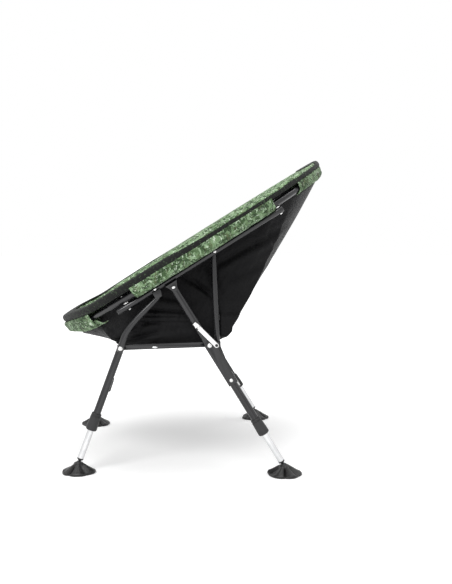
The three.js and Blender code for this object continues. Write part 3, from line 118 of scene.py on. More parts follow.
class Look:
    """A material with a Principled shader and a few short ways to add nodes."""

    def __init__(self, name, **settings):
        self.material = bpy.data.materials.new(name)
        self.material.use_nodes = True
        self.tree = self.material.node_tree
        self.tree.nodes.clear()
        out = self.tree.nodes.new("ShaderNodeOutputMaterial")
        self.shader = self.tree.nodes.new("ShaderNodeBsdfPrincipled")
        self.tree.links.new(self.shader.outputs[0], out.inputs[0])
        for key, value in settings.items():
            self.put(self.shader, key.replace("_", " "), value)
        self.place = self.tree.nodes.new("ShaderNodeTexCoord").outputs["Object"]

    def put(self, node, key, value):
        socket = node.inputs[key]
        if isinstance(value, bpy.types.NodeSocket):
            self.tree.links.new(value, socket)
        else:
            socket.default_value = value

    def node(self, kind, values=None, **settings):
        made = self.tree.nodes.new("ShaderNode" + kind)
        for key, value in settings.items():
            setattr(made, key, value)
        for key, value in (values or {}).items():
            self.put(made, key, value)
        return made

    def noise(self, scale, detail=4.0, rough=0.55, distort=0.0, where=None):
        return self.node("TexNoise", {
            "Vector": where or self.place, "Scale": scale, "Detail": detail, "Roughness": rough,
            "Distortion": distort,
        }).outputs[0]

    def stretch(self, scale, turn=(0, 0, 0), where=None):
        values = {"Vector": where or self.place, "Scale": scale, "Rotation": turn}
        return self.node("Mapping", values).outputs[0]

    def ramp(self, value, stops):
        made = self.node("ValToRGB", {"Fac": value})
        ramp = made.color_ramp
        while len(ramp.elements) < len(stops):
            ramp.elements.new(0.5)
        for element, (place, color) in zip(ramp.elements, stops):
            element.position = place
            element.color = color
        return made.outputs[0]

    def span(self, value, low, high, to_low=0.0, to_high=1.0):
        return self.node("MapRange", {
            "Value": value, "From Min": low, "From Max": high, "To Min": to_low, "To Max": to_high,
        }).outputs[0]

    def mix(self, share, first, second):
        return self.node("Mix", {0: share, 6: first, 7: second}, data_type="RGBA").outputs[2]

    def bands(self, scale, way, where=None):
        values = {"Vector": where or self.place, "Scale": scale}
        return self.node("TexWave", values, wave_type="BANDS", bands_direction=way).outputs[1]

    def plus(self, first, second, operation="ADD"):
        return self.node("Math", {0: first, 1: second}, operation=operation).outputs[0]

    def times(self, first, second):
        return self.plus(first, second, "MULTIPLY")

    def surface(self, color, rough, height, strength, distance):
        """Puts colour, roughness and relief on the shader, and gives the material."""
        self.put(self.shader, "Base Color", color)
        self.put(self.shader, "Roughness", rough)
        values = {"Height": height, "Strength": strength, "Distance": distance}
        self.put(self.shader, "Normal", self.node("Bump", values).outputs[0])
        return self.material


def powder_coat():
    look = Look("black_powder_coat", Metallic=0.0, Specular_IOR_Level=0.5)
    fine = look.noise(900, 3)
    broad = look.noise(24, 5, 0.6)
    color = look.ramp(broad, [(0.3, tone(20, 20, 22)), (0.7, tone(30, 30, 32))])
    scuff = look.span(look.noise(160, 6, 0.75, 0.4), 0.66, 0.74)
    worn = look.mix(look.times(scuff, 0.22), color, tone(86, 86, 87))
    return look.surface(worn, look.span(broad, 0.2, 0.8, 0.2, 0.3), fine, 0.12, 0.0002)


def silver_tube():
    look = Look("satin_silver_tube", Metallic=1.0)
    drawn = look.noise(220, 4, 0.6, 0.0, look.stretch((1, 1, 0.08)))
    color = look.ramp(look.noise(40, 4), [(0.3, tone(206, 207, 208)), (0.7, tone(224, 224, 225))])
    return look.surface(color, look.span(drawn, 0.2, 0.8, 0.26, 0.4), drawn, 0.12, 0.0002)


def bright_steel():
    look = Look("zinc_plated_steel", Metallic=1.0)
    grain = look.noise(300, 5, 0.6)
    color = look.ramp(look.noise(90, 3), [(0.3, tone(204, 204, 203)), (0.75, tone(232, 232, 230))])
    return look.surface(color, look.span(grain, 0.2, 0.8, 0.2, 0.38), grain, 0.1, 0.0002)


def moulded_plastic():
    look = Look("moulded_black_plastic", Specular_IOR_Level=0.4)
    grain = look.noise(1400, 2, 0.5)
    blot = look.noise(60, 4)
    color = look.ramp(blot, [(0.3, tone(30, 30, 31)), (0.7, tone(42, 42, 43))])
    return look.surface(color, look.span(blot, 0.2, 0.8, 0.42, 0.58), grain, 0.35, 0.0003)


def foot_rubber():
    look = Look("foot_rubber", Specular_IOR_Level=0.4)
    dust = look.noise(70, 6, 0.7)
    grain = look.noise(800, 3)
    color = look.ramp(dust, [(0.35, tone(16, 16, 17)), (0.75, tone(36, 35, 34))])
    rough = look.span(dust, 0.3, 0.7, 0.3, 0.55)
    return look.surface(color, rough, look.plus(grain, look.times(dust, 2.5)), 0.5, 0.0009)


def weave(look, pitch):
    """Height of a plain weave: sets of threads that cross on every side of a piece. The cloths also use it to
    darken their colour where it is low, as painted shade between the threads.
    """
    across = look.stretch((1, 1, 1), (radians(20), -RING_TILT, 0))
    first, second, third = [look.bands(pitch, way, across) for way in "XYZ"]
    return look.plus(look.times(first, second), third)


def mottled_cloth():
    """Ragged blots in four greens with pale flecks, each layer turned and stretched its own way."""
    look = Look("mottled_green_cloth", Sheen_Weight=0.08, Sheen_Roughness=0.5, Specular_IOR_Level=0.15)
    warp = look.node("TexNoise", {"Vector": look.place, "Scale": 45.0, "Detail": 3.0})
    scaled = look.node("VectorMath", {0: warp.outputs[1], 1: (0.022, 0.022, 0.022)}, operation="MULTIPLY")
    warped = look.node("VectorMath", {0: look.place, 1: scaled.outputs[0]}, operation="ADD").outputs[0]
    color = look.ramp(look.noise(36, 4, 0.6, 0.5, warped), [
        (0.40, tone(62, 84, 54)), (0.47, tone(84, 108, 74)),
        (0.53, tone(104, 130, 94)), (0.62, tone(122, 148, 112)),
    ])
    for scale, detail, rough, stretch, turn, low, high, share, shade in (
        (50, 5, 0.66, (1.0, 1.0, 1.7), (0.4, 0.9, 0.3), 0.515, 0.535, 0.92, tone(40, 58, 36)),
        (54, 4, 0.6, (1.8, 1, 1), (0.2, 0.5, 1.1), 0.59, 0.61, 0.7, tone(84, 88, 60)),
        (66, 5, 0.7, (1, 1.6, 1), (0.9, 0.1, 0.6), 0.565, 0.585, 0.9, tone(146, 172, 138)),
        (120, 4, 0.66, (1.4, 1, 0.8), (0.1, 1.3, 0.2), 0.6, 0.62, 0.85, tone(196, 212, 190)),
    ):
        blots = look.noise(scale, detail, rough, 0.8, look.stretch(stretch, turn, warped))
        color = look.mix(look.times(look.span(blots, low, high), share), color, shade)
    threads = weave(look, 330)
    # The colour is darkened towards tone(40, 52, 36) where the weave is low: painted shade between the threads
    weave_gap_shaded = look.mix(look.span(threads, 0, 2, 0.12, 0.0), color, tone(40, 52, 36))
    rough = look.span(look.noise(50, 3), 0.2, 0.8, 0.78, 0.92)
    soft = look.noise(28, 4, 0.55)
    relief = look.plus(look.times(threads, 0.12), look.times(soft, 2.0))
    return look.surface(weave_gap_shaded, rough, relief, 0.5, 0.0016)


def black_cloth():
    look = Look("black_nylon_cloth", Sheen_Weight=0.02, Sheen_Roughness=0.4, Specular_IOR_Level=0.07)
    threads = weave(look, 360)
    broad = look.noise(14, 5, 0.6, 0.4)
    color = look.ramp(broad, [(0.3, tone(18, 18, 19)), (0.7, tone(29, 29, 30))])
    # The colour is darkened towards tone(8, 8, 9) where the weave is low: painted shade between the threads
    weave_gap_shaded = look.mix(look.span(threads, 0, 2, 0.3, 0.0), color, tone(8, 8, 9))
    rough = look.span(broad, 0.2, 0.8, 0.42, 0.58)
    crumple = look.noise(26, 5, 0.6, 1.2)
    relief = look.plus(look.times(threads, 0.08), look.times(crumple, 3.0))
    return look.surface(weave_gap_shaded, rough, relief, 0.6, 0.0024)


def tape_cloth():
    look = Look("black_binding_tape", Sheen_Weight=0.04, Specular_IOR_Level=0.2)
    ribs = look.bands(240, "Z")
    broad = look.noise(40, 4)
    color = look.ramp(broad, [(0.3, tone(9, 10, 9)), (0.7, tone(21, 22, 21))])
    speck = look.span(look.noise(150, 4, 0.7), 0.57, 0.63, 0, 0.7)
    flecked = look.mix(speck, color, tone(66, 82, 60))
    rough = look.span(broad, 0.2, 0.8, 0.7, 0.85)
    return look.surface(flecked, rough, look.plus(ribs, look.times(broad, 2.0)), 0.4, 0.0005)


LOOKS = {
    "paint": powder_coat(), "silver": silver_tube(), "steel": bright_steel(), "plastic": moulded_plastic(),
    "rubber": foot_rubber(), "mottled": mottled_cloth(), "black": black_cloth(), "tape": tape_cloth(),
}


def added(name, data):
    made = bpy.data.objects.new(name, data)
    bpy.context.scene.collection.objects.link(made)
    return made


def evaluated(made):
    """A new mesh of an object as its modifiers leave it."""
    return bpy.data.meshes.new_from_object(made.evaluated_get(bpy.context.evaluated_depsgraph_get()))


def baked(mesh, kind, **settings):
    """A new mesh: the given one with a modifier of a kind applied."""
    temp = added("temp", mesh)
    modifier = temp.modifiers.new(kind, kind)
    for key, value in settings.items():
        setattr(modifier, key, value)
    bpy.context.view_layer.update()
    done = evaluated(temp)
    bpy.data.objects.remove(temp)
    return done


def piece(name, mesh, look, body, replaced=(), sharp=40):
    """Adds a mesh as a piece of the chair, riding on a body."""
    made = added(name, mesh)
    mesh.materials.clear()
    mesh.materials.append(LOOKS[look])
    mesh.polygons.foreach_set("use_smooth", [True] * len(mesh.polygons))
    mesh.set_sharp_from_angle(angle=radians(sharp))
    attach(made, body)
    if replaced:
        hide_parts(*replaced)
    return made


def mesh_from(name, points, faces):
    mesh = bpy.data.meshes.new(name)
    mesh.from_pydata([tuple(point) for point in points], [], faces)
    work = bmesh.new()
    work.from_mesh(mesh)
    bmesh.ops.recalc_face_normals(work, faces=work.faces)
    if work.calc_volume(signed=True) < 0:
        bmesh.ops.reverse_faces(work, faces=work.faces)
    work.to_mesh(mesh)
    work.free()
    return mesh


def row_faces(rows, closed_rows=False):
    """The faces between rings of points, row to row."""
    count = len(rows[0])
    faces = []
    for row in range(len(rows) if closed_rows else len(rows) - 1):
        low, high = row * count, ((row + 1) % len(rows)) * count
        for at in range(count):
            after = (at + 1) % count
            faces.append((low + at, low + after, high + after, high + at))
    return faces


def rows_to_mesh(name, rows, closed_rows=False):
    """Rings of points, joined row to row. The tips are filled unless the rows close on themselves."""
    count = len(rows[0])
    points = [point for row in rows for point in row]
    faces = row_faces(rows, closed_rows)
    if not closed_rows:
        faces.append(tuple(range(count)))
        faces.append(tuple(range(len(points) - count, len(points))))
    return mesh_from(name, points, faces)


def shaped(name, rows, look, body, replaced=(), sharp=40, closed_rows=False):
    return piece(name, rows_to_mesh(name, rows, closed_rows), look, body, replaced, sharp)


def frame_along(points, square):
    """For each point of a flat path: the point, and the ways sideways, square to its plane and along it."""
    found = []
    for at, point in enumerate(points):
        before = points[max(0, at - 1)]
        after = points[min(len(points) - 1, at + 1)]
        tangent = (after - before).normalized()
        across = tangent.cross(square).normalized()
        found.append((point, across, square.normalized(), tangent))
    return found


TUBE_SIDES = 40


def tube(name, points, radius, square, body, replaced, round_end=0.0, bore=None):
    """A painted tube along a path, with an open bore or with rounded end plugs."""
    stations = frame_along(points, square)
    rows = []

    def ring_at(station, r, push=0.0):
        point, across, up, tangent = station
        middle = point + tangent * push
        return [
            middle + across * (r * cos(turn)) + up * (r * sin(turn)) for turn in around(TUBE_SIDES)
        ]

    edge = min(0.0006, radius * 0.2)
    if bore:
        rows.append(ring_at(stations[0], bore))
        rows.append(ring_at(stations[0], radius - edge))
        rows.append(ring_at(stations[0], radius, edge))
        rows += [ring_at(station, radius) for station in stations[1:-1]]
        rows.append(ring_at(stations[-1], radius, -edge))
        rows.append(ring_at(stations[-1], radius - edge))
        rows.append(ring_at(stations[-1], bore))
        rows += [ring_at(station, bore) for station in reversed(stations[1:-1])]
    else:
        bulge = round_end or edge
        steps = 6 if round_end else 2

        def cap(station, way):
            turns = [(step + 0.35) / steps * pi / 2 for step in range(steps)]
            return [
                ring_at(station, radius - bulge + bulge * sin(turn), way * bulge * (1 - cos(turn)))
                for turn in turns
            ]

        rows += cap(stations[0], 1) + [ring_at(station, radius) for station in stations[1:-1]]
        rows += reversed(cap(stations[-1], -1))
    return shaped(name, rows, "paint", body, replaced, closed_rows=bool(bore))


def turned(name, profile, origin, axis, look, body, replaced=(), sides=48, sharp=35):
    """A lathe form: profile points are (radius, run along the axis)."""
    axis = axis.normalized()
    side = Vector((0, 1, 0)).cross(axis)
    if side.length < NEAR_ZERO:
        side = Vector((1, 0, 0)).cross(axis)
    side.normalize()
    other = axis.cross(side)
    rows = []
    for radius, run in profile:
        middle = origin + axis * run
        r = max(radius, NEAR_ZERO)
        rows.append([
            middle + side * (r * cos(angle)) + other * (r * sin(angle)) for angle in around(sides)
        ])
    closed = profile[0] == profile[-1]
    if closed:
        rows.pop()
    return shaped(name, rows, look, body, replaced, sharp, closed)


def dome(name, at, axis, radius, rise, look, body):
    """A rivet head standing on a surface at a point."""
    profile = [(0, -0.0004), (radius, -0.0004)]
    steps = 8
    for step in range(steps):
        turn = step / steps * pi / 2
        profile.append((radius * cos(turn) ** 0.8, rise * sin(turn)))
    profile.append((0, rise))
    return turned(name, profile, at, axis, look, body, sides=36)


BEVEL_ANGLE = 38


def refined(node_name, look, bevel):
    """A smooth-edged copy of a flat-sided node, in its place."""
    source = nodes[node_name]
    mesh = source.data.copy()
    work = bmesh.new()
    work.from_mesh(mesh)
    bmesh.ops.remove_doubles(work, verts=work.verts, dist=NEAR_ZERO)
    bmesh.ops.dissolve_limit(
        work, angle_limit=radians(2), verts=work.verts, edges=work.edges, delimit=set()
    )
    work.to_mesh(mesh)
    work.free()
    done = baked(mesh, "BEVEL", width=bevel, segments=2, limit_method="ANGLE",
                 angle_limit=radians(BEVEL_ANGLE))
    body = next(b for b, members in frame["record"]["behaviour"]["bodies"].items() if node_name in members)
    return piece(node_name + "_finished", done, look, body, [node_name], sharp=BEVEL_ANGLE)


# Camera at the photograph's viewing angle
FOCAL_PIXELS = 850
PHOTO_HEIGHT = 584
ASIDE_PIXELS = 62
DOWN_PIXELS = 51.8
camera_data = bpy.data.cameras.new("camera")
camera_data.sensor_fit = "AUTO"
camera_data.sensor_width = 36
camera_data.lens = FOCAL_PIXELS / PHOTO_HEIGHT * camera_data.sensor_width
camera = added("camera", camera_data)
yaw = atan(ASIDE_PIXELS / FOCAL_PIXELS)
pitch = atan(DOWN_PIXELS / FOCAL_PIXELS)
camera.location = (RING_OFFSET - 0.0920, -2.545, 0.6161)
level = cos(pitch)
view_line = Vector((sin(yaw) * level, cos(yaw) * level, -sin(pitch)))
camera.rotation_euler = view_line.to_track_quat("-Z", "Y").to_euler()
bpy.context.scene.camera = camera


# Ring
def ring_arc(start, sweep, count):
    """Points along the ring, from a start angle over a sweep, in degrees."""
    return [ring_point(RING_RADIUS, radians(start + sweep * at / count), 0) for at in range(count + 1)]


tube("seat_ring_main", ring_arc(-130, 260, 130), RING_TUBE / 2, RING_NORMAL, "frame", ["ring_main_tube"],
     bore=FRONT_ARC_TUBE / 2 + FIT_GAP)
tube("seat_ring_front", ring_arc(128, 104, 52), FRONT_ARC_TUBE / 2, RING_NORMAL, "frame",
     ["ring_front_tube"], bore=FRONT_ARC_TUBE / 2 - 0.0015)


def mirrored(point, sign):
    return Vector((point.x, sign * point.y, point.z))


def line(first, second, count=2):
    return [first.lerp(second, at / (count - 1)) for at in range(count)]


def rounded(first, corner, last, count):
    """Points round a corner, from one point to another."""
    shares = [at / (count - 1) for at in range(count)]
    return [first.lerp(corner, share).lerp(corner.lerp(last, share), share) for share in shares]


def rail_point(along, side, up=0.0):
    return on_ring(along, side, up - RAIL_DROP)


REAR_DOWN = Vector((sin(REAR_LEAN), 0, -cos(REAR_LEAN)))
FRONT_DOWN = Vector((-sin(FRONT_LEAN), 0, -cos(FRONT_LEAN)))
COLLAR_LENGTH = 0.047
COLLAR_SEAT = 0.038
INNER_RADIUS = 0.0086
BALL_RADIUS = 0.008
SOCKET_RADIUS = 0.0083
FOOT_SIDES = 160


def leg(side, sign, end, hinge, down, collar_start, outer_start):
    body = f"{side}_{end}_leg"
    name = f"{side}_{end}"

    def at(run):
        return hinge + down * run

    outer_end = collar_start + COLLAR_SEAT
    tube(f"{name}_outer_leg", line(at(outer_start), at(outer_end), 8), LEG_TUBE / 2, Vector((0, 1, 0)),
         body, [f"{name}_outer_tube"], bore=LEG_TUBE / 2 - 0.0011)
    top, low, length = 0.0134, 0.015, COLLAR_LENGTH
    # The collar: a lip at the top, a waist line, and a broad rounded lower end
    profile = [
        (0.0103, 0), (top - 0.0012, 0), (top, 0.0012), (top + 0.0002, 0.0050), (top - 0.0010, 0.0057),
        (top - 0.0010, 0.0068), (top + 0.0003, 0.0075), (low - 0.0002, length - 0.0105),
        (low, length - 0.004), (low - 0.0008, length - 0.0013), (low - 0.0026, length), (0.0091, length),
        (0.0091, 0.0383), (0.0103, 0.0383), (0.0103, 0),
    ]
    turned(f"{name}_lock_collar", profile, at(collar_start), down, "plastic", body, [f"{name}_collar"],
           sharp=32)
    refined(f"{name}_lock_tab", "steel", 0.0004)
    pivot = (hinge.z - FOOT_PIVOT_Z) / -down.z
    inner_top = outer_end - 0.110
    r = INNER_RADIUS
    inner_profile = [
        (r - 0.0012, inner_top), (r - 0.0002, inner_top), (r, inner_top + 0.0005), (r, pivot - 0.0165),
        (r - 0.0006, pivot - 0.0158), (r - 0.0012, pivot - 0.0158), (r - 0.0012, inner_top),
    ]
    turned(f"{name}_inner_leg", inner_profile, hinge, down, "silver", f"{body}_inner",
           [f"{name}_inner_tube"])
    plug = [
        (0, -0.020), (r - 0.0014, -0.020), (r - 0.0014, -0.0158), (r - 0.0001, -0.0157),
        (r - 0.0001, -0.0135), (r - 0.0008, -0.0122), (0.0052, -0.0105), (0.0036, -0.0085), (0.0035, -0.0072),
    ]
    neck = asin(0.0035 / BALL_RADIUS)
    for step in range(1, 12):
        angle = neck + (pi - neck) * step / 11
        plug.append((BALL_RADIUS * sin(angle), -BALL_RADIUS * cos(angle)))
    turned(f"{name}_ball_plug", plug, at(pivot), down, "plastic", f"{body}_inner", sides=32)
    foot(name, at(pivot), f"{body}_foot", seed=len(name) + (3 if sign > 0 else 0))


def foot(name, pivot, body, seed):
    """A broad rubber foot: flat sole, wavy rolled rim and a skirt with folds up to the socket's neck."""
    half = 0.046
    base = -FOOT_PIVOT_Z
    outline = [(radius, base + up) for radius, up in (
        (0, 0), (half * 0.6, 0), (half - 0.004, 0), (half - 0.0012, 0.0009), (half, 0.003),
        (half - 0.0004, 0.0056), (half - 0.0022, 0.0076), (half - 0.005, 0.0084), (half * 0.8, 0.0103),
        (half * 0.7, 0.0131), (half * 0.6, 0.0160), (half * 0.5, 0.0189), (half * 0.4, 0.0218),
        (half * 0.33, 0.0238), (half * 0.275, 0.0256), (0.0118, 0.0266), (0.0110, 0.0273),
        (0.0084, 0.0273), (0.0077, 0.0262),
    )]
    lip = asin(0.0034 / SOCKET_RADIUS)
    for step in range(1, 9):
        angle = lip - (lip + pi / 2) * step / 8
        outline.append((SOCKET_RADIUS * cos(angle), SOCKET_RADIUS * sin(angle)))
    rows = []
    for radius, run in outline:
        row = []
        for angle in around(FOOT_SIDES):
            turn = angle + 0.22 * sin(2 * angle + seed) + 0.12 * sin(3 * angle + 2 * seed)
            valley = (1 - abs(cos(2.5 * turn + seed))) ** 1.9
            lobe = sin(5 * turn + 2 * seed + 1.3) + 0.5 * sin(8 * turn + seed)
            on_top = smooth(run, base + 0.005, base + 0.009) * smooth(radius, 0.0115, 0.017)
            wide = smooth(radius, 0.012, half)
            swell = 0.02 * sin(2 * angle + seed) + 0.010 * lobe - 0.07 * valley
            r = max(radius, NEAR_ZERO) * (1 + wide * swell)
            sink = (0.0095 * valley * (1 - 0.7 * wide**3) - 0.0014 * lobe * (1 - valley)) * on_top
            low = 0.0035 * smooth(radius, half * 0.55, half) * valley * (1 if run > base + 0.002 else 0)
            row.append(pivot + Vector((r * cos(angle), r * sin(angle), run - sink - low * on_top)))
        rows.append(row)
    shaped(f"{name}_foot", rows, "rubber", body, [f"{name}_mud_foot"], sharp=60)


# Flat-sided nodes of a side frame, with their looks and bevels
SIDE_NODES = [
    ("front_bracket", "paint", 0.0006), ("rear_clevis", "paint", 0.0006), ("bottom_bar", "paint", 0.0012),
    ("latch_stud", "steel", 0.0003), ("front_hinge_bolt", "steel", 0.0004),
    ("rear_hinge_bolt", "steel", 0.0004), ("rear_leg_fork", "paint", 0.0007),
    ("latch_hook", "steel", 0.0004),
]
UPRIGHT_RADIUS = 0.0075
UPRIGHT_SPREAD = SIDE_SPREAD - RAIL_TUBE / 2 - FIT_GAP - UPRIGHT_RADIUS
BAR_WIDTH = 0.010
FORK_PLATE = 0.003
FORK_INSIDE = LEG_TUBE / 2 + FIT_GAP


def side_frame(side, sign):
    out = Vector((0, sign, 0))
    square = Vector((0, 1, 0))
    spread = sign * SIDE_SPREAD
    rear = mirrored(REAR_HINGE, sign)
    front = mirrored(FRONT_HINGE, sign)
    rail = line(rail_point(-RAIL_FRONT_RUN, spread), rail_point(RAIL_REAR_RUN, spread), 24)
    tube(f"{side}_rail", rail, RAIL_TUBE / 2, square, "frame", [f"{side}_side_rail"], round_end=0.003)
    refined(f"{side}_front_ring_bolt", "steel", 0.0004)
    refined(f"{side}_rear_ring_bolt", "steel", 0.0004)
    # Rivets that hold the bracket and the upright
    for label, run in (("bracket", -0.149), ("upright", 0.032)):
        dome(f"{side}_{label}_rivet", rail_point(run, spread) + out * (RAIL_TUBE / 2 - 0.0002), out,
             0.0042, 0.0022, "steel", "frame")
    for node, look, bevel in SIDE_NODES:
        refined(f"{side}_{node}", look, bevel)

    top = rail_point(-0.151, spread, -0.0204)
    elbow = front + Vector((0.016, 0, 0.049))
    end = front + Vector((-0.28, 0, -0.96)) * 0.010
    elbow_in = top.lerp(elbow, 0.55)
    elbow_out = elbow.lerp(front, 0.45)
    strut = [top, *rounded(elbow_in, elbow, elbow_out, 13), end]
    tube(f"{side}_strut", strut, STRUT_TUBE / 2, square, "frame", [f"{side}_front_strut"], round_end=0.004)

    up_run = 0.1855
    diagonal = line(rear - REAR_DOWN * up_run, rear + REAR_DOWN * 0.0095, 10)
    tube(f"{side}_diagonal", diagonal, LEG_TUBE / 2 - 0.00005, square, "frame",
         [f"{side}_diagonal_tube"], round_end=0.006)
    upright_y = sign * UPRIGHT_SPREAD
    upright_top = rail_point(0.032, 0, 0.005)
    upright_top.y = upright_y
    upright_low = Vector((rear.x + 0.0215, upright_y, 0.3528))
    tube(f"{side}_upright", line(upright_low, upright_top, 10), UPRIGHT_RADIUS, square, "frame",
         [f"{side}_upright_tube"], round_end=0.003)
    share = (0.4248 - upright_low.z) / (upright_top.z - upright_low.z)
    dome(f"{side}_cross_rivet", upright_low.lerp(upright_top, share) + out * 0.0073, out, 0.003, 0.0016,
         "paint", "frame")
    clevis_at = rear - REAR_DOWN * 0.1770
    clevis_at.y = spread + sign * (LEG_TUBE / 2 + 0.0028)
    dome(f"{side}_clevis_rivet", clevis_at, out, 0.0046, 0.0020, "steel", "frame")
    # The oval end of the cross tube's rivet on the bar
    bar_face = Vector((CROSS_X, spread + sign * BAR_WIDTH / 2, CROSS_Z))
    oval = dome(f"{side}_bar_rivet", bar_face, out, 0.0045, 0.0007, "silver", "frame")
    for corner in oval.data.vertices:
        corner.co.x = bar_face.x + (corner.co.x - bar_face.x) * 1.5
        corner.co.z = bar_face.z + (corner.co.z - bar_face.z) * 0.5
    leg(side, sign, "rear", rear, REAR_DOWN, collar_start=0.228, outer_start=0.024)
    front_top = Vector((front.x, sign * FRONT_LEG_SPREAD, front.z))
    leg(side, sign, "front", front_top, FRONT_DOWN, collar_start=0.192, outer_start=-0.0065)
    # Rivet through the fork and the rear leg
    fork_out = spread + sign * (FORK_INSIDE + FORK_PLATE)
    dome(f"{side}_fork_rivet", Vector((rear.x, fork_out, rear.z)) + REAR_DOWN * 0.1067, out, 0.0048, 0.0022,
         "steel", f"{side}_rear_leg")


for side, sign in (("left", -1), ("right", 1)):
    side_frame(side, sign)

# Cross tubes
FRONT_BAR_RADIUS = 0.008
REAR_BAR_RADIUS = 0.007
BAR_WALL = 0.0015
bar_end = SIDE_SPREAD - FORK_INSIDE - FORK_PLATE - FIT_GAP - BAR_WIDTH - FIT_GAP
bar_middle = Vector((CROSS_X, 0, CROSS_Z))
bar_half = Vector((0, bar_end, 0))
tube("front_cross_bar", line(bar_middle - bar_half, bar_middle + bar_half, 12), FRONT_BAR_RADIUS,
     Vector((0, 0, 1)), "frame", ["front_cross_tube"], bore=FRONT_BAR_RADIUS - BAR_WALL)
rear_cross = Vector((0.0790, 0, 0.382))


def rear_cross_points():
    """The rear bar's path: a straight middle and an arm turned up and forwards at either end."""
    spread = UPRIGHT_SPREAD - UPRIGHT_RADIUS - FIT_GAP - REAR_BAR_RADIUS
    points = []
    for sign in (-1, 1):
        corner = rear_cross + Vector((0, sign * spread, 0))
        arm = rear_cross + Vector((-0.028, sign * spread, 0.042))
        arm_bend = corner.lerp(arm, 26 / 42 / 2)
        inner = corner - Vector((0, sign * 0.026, 0))
        part = [arm, *rounded(arm_bend, corner, inner, 11)]
        points += part if sign < 0 else part[::-1]
    return points


tube("rear_cross_bar", rear_cross_points(), REAR_BAR_RADIUS, Vector((0.042, 0, 0.028)).normalized(),
     "frame", ["rear_cross_tube"], bore=REAR_BAR_RADIUS - BAR_WALL)

# Hem roll: cloth wound round the rear cross tube, with soft puckers
HEM_HALF = 0.270
HEM_STEPS = 90
HEM_SIDES = 48
HEM_RADIUS = 0.0155
HEM_BORE = 0.0074


def hem_ring(step, radius_at):
    y = -HEM_HALF + 2 * HEM_HALF * step / HEM_STEPS
    row = []
    for angle in around(HEM_SIDES):
        r = radius_at(angle, y)
        row.append(rear_cross + Vector((r * cos(angle), y, r * sin(angle))))
    return row


def hem_radius(angle, y):
    pucker = ripple(3 * cos(angle), 3 * sin(angle), y * 55)
    broad = ripple(cos(angle), sin(angle) + 5, y * 9)
    end_share = smooth(abs(y), HEM_HALF - 0.006, HEM_HALF)
    return HEM_RADIUS + 0.0008 * pucker + 0.0006 * broad - 0.0035 * end_share


hem_rows = [hem_ring(step, hem_radius) for step in range(HEM_STEPS + 1)]
hem_rows += [hem_ring(step, lambda angle, y: HEM_BORE) for step in range(HEM_STEPS, -1, -6)]
hem = shaped("rear_hem", hem_rows, "black", "frame", ["rear_hem_roll"], sharp=80, closed_rows=True)


# Seat pad
SEAT_ANGLES = 160
PAD_DEPTH = 0.180
PAD_SHIFT = -0.088
SHOULDER_RADIUS = 0.394
SHOULDER_HALF = 0.322
SHOULDER_UP = 0.006
# What the pad lies over: X and Z at its front, Z of the raised rear part, and the gap under the pad
FLOOR_X = -0.208
FLOOR_Z = 0.3508
RAISED_Z = 0.411
PAD_GAP = 0.0055
# Low loops of the shell: front X, front Z, rear X, rear Z and half width
SHELL_LOWS = [
    (-0.226, 0.3445, 0.0900, 0.3905, 0.3296),
    (-0.222, 0.3430, 0.0890, 0.3790, 0.3275),
    (-0.217, 0.3420, 0.0760, 0.3640, 0.3250),
    (-0.210, 0.3415, 0.045, 0.3480, 0.3230),
]
SHELL_TOP_RADIUS = 0.412


def rim_lift(angle):
    """How far the rim draws in and curls up at the front."""
    front = smooth(-cos(angle), 0.72, 1.0)
    return -0.0095 * front, 0.0100 * front


def rim_point(radius, angle, up):
    inwards, rise = rim_lift(angle)
    return ring_point(radius + inwards, angle, up + rise)


def soft_limit(value, most, ease=0.012):
    size = abs(value)
    if size > most - ease:
        over = size - (most - ease)
        size = most - ease + ease * (1 - exp(-over / ease))
    return copysign(size, value)


def pad_floor(x):
    slope = -0.17 if x < FLOOR_X else 0.045
    over = PAD_GAP + slope * (x - FLOOR_X) + FLOOR_Z
    step = smooth(x, 0.019, 0.045)
    return over + (RAISED_Z + PAD_GAP - over) * step


def bowl_point(angle, share, thickness):
    rear = smooth(cos(angle), 0, 0.8)
    straight = rear * smooth(share, 0, 0.6)
    power = 2.1 + (1.12 - 2.1) * straight
    along = PAD_SHIFT * (1 - share**2) + share * SHOULDER_RADIUS * cos(angle)
    side = share * soft_limit(SHOULDER_RADIUS * sin(angle), SHOULDER_HALF)
    point = on_ring(along, side, SHOULDER_UP + thickness - PAD_DEPTH * (1 - share**power))
    low = pad_floor(point.x - RING_OFFSET) + thickness + 0.0008
    over = point.z - low
    point.z = low + (over + sqrt(over * over + 0.00004)) / 2
    return point


def pad_rows():
    angles = around(SEAT_ANGLES)
    inset = 0.0006
    rim = RIM_THICKNESS / 2 - inset
    loops = 26
    shares = [1 - (at + 0.4) / loops for at in range(loops)]
    shares = [share for share in shares if share > 0.02]
    rows = [[bowl_point(a, share, 0.0005) for a in angles] for share in reversed(shares)]
    rows.append([rim_point(0.4162, a, 0.0168) for a in angles])
    turns = 9
    for step in range(turns + 1):
        bend = -pi / 2 + pi * step / turns
        radius, up = RIM_RADIUS - inset + rim * cos(bend), RIM_UP + rim * sin(bend)
        rows.append([rim_point(radius, a, up) for a in angles])
    rows.append([rim_point(0.424, a, 0.0325) for a in angles])
    rows.append([rim_point(0.412, a, 0.0308) for a in angles])
    rows += [[bowl_point(a, share, PAD_THICKNESS - 0.002) for a in angles] for share in shares]
    return rows


pad_mesh = rows_to_mesh("seat_pad_cloth", pad_rows())


def places(mesh):
    found = np.empty(len(mesh.vertices) * 3)
    mesh.vertices.foreach_get("co", found)
    return found.reshape(-1, 3)


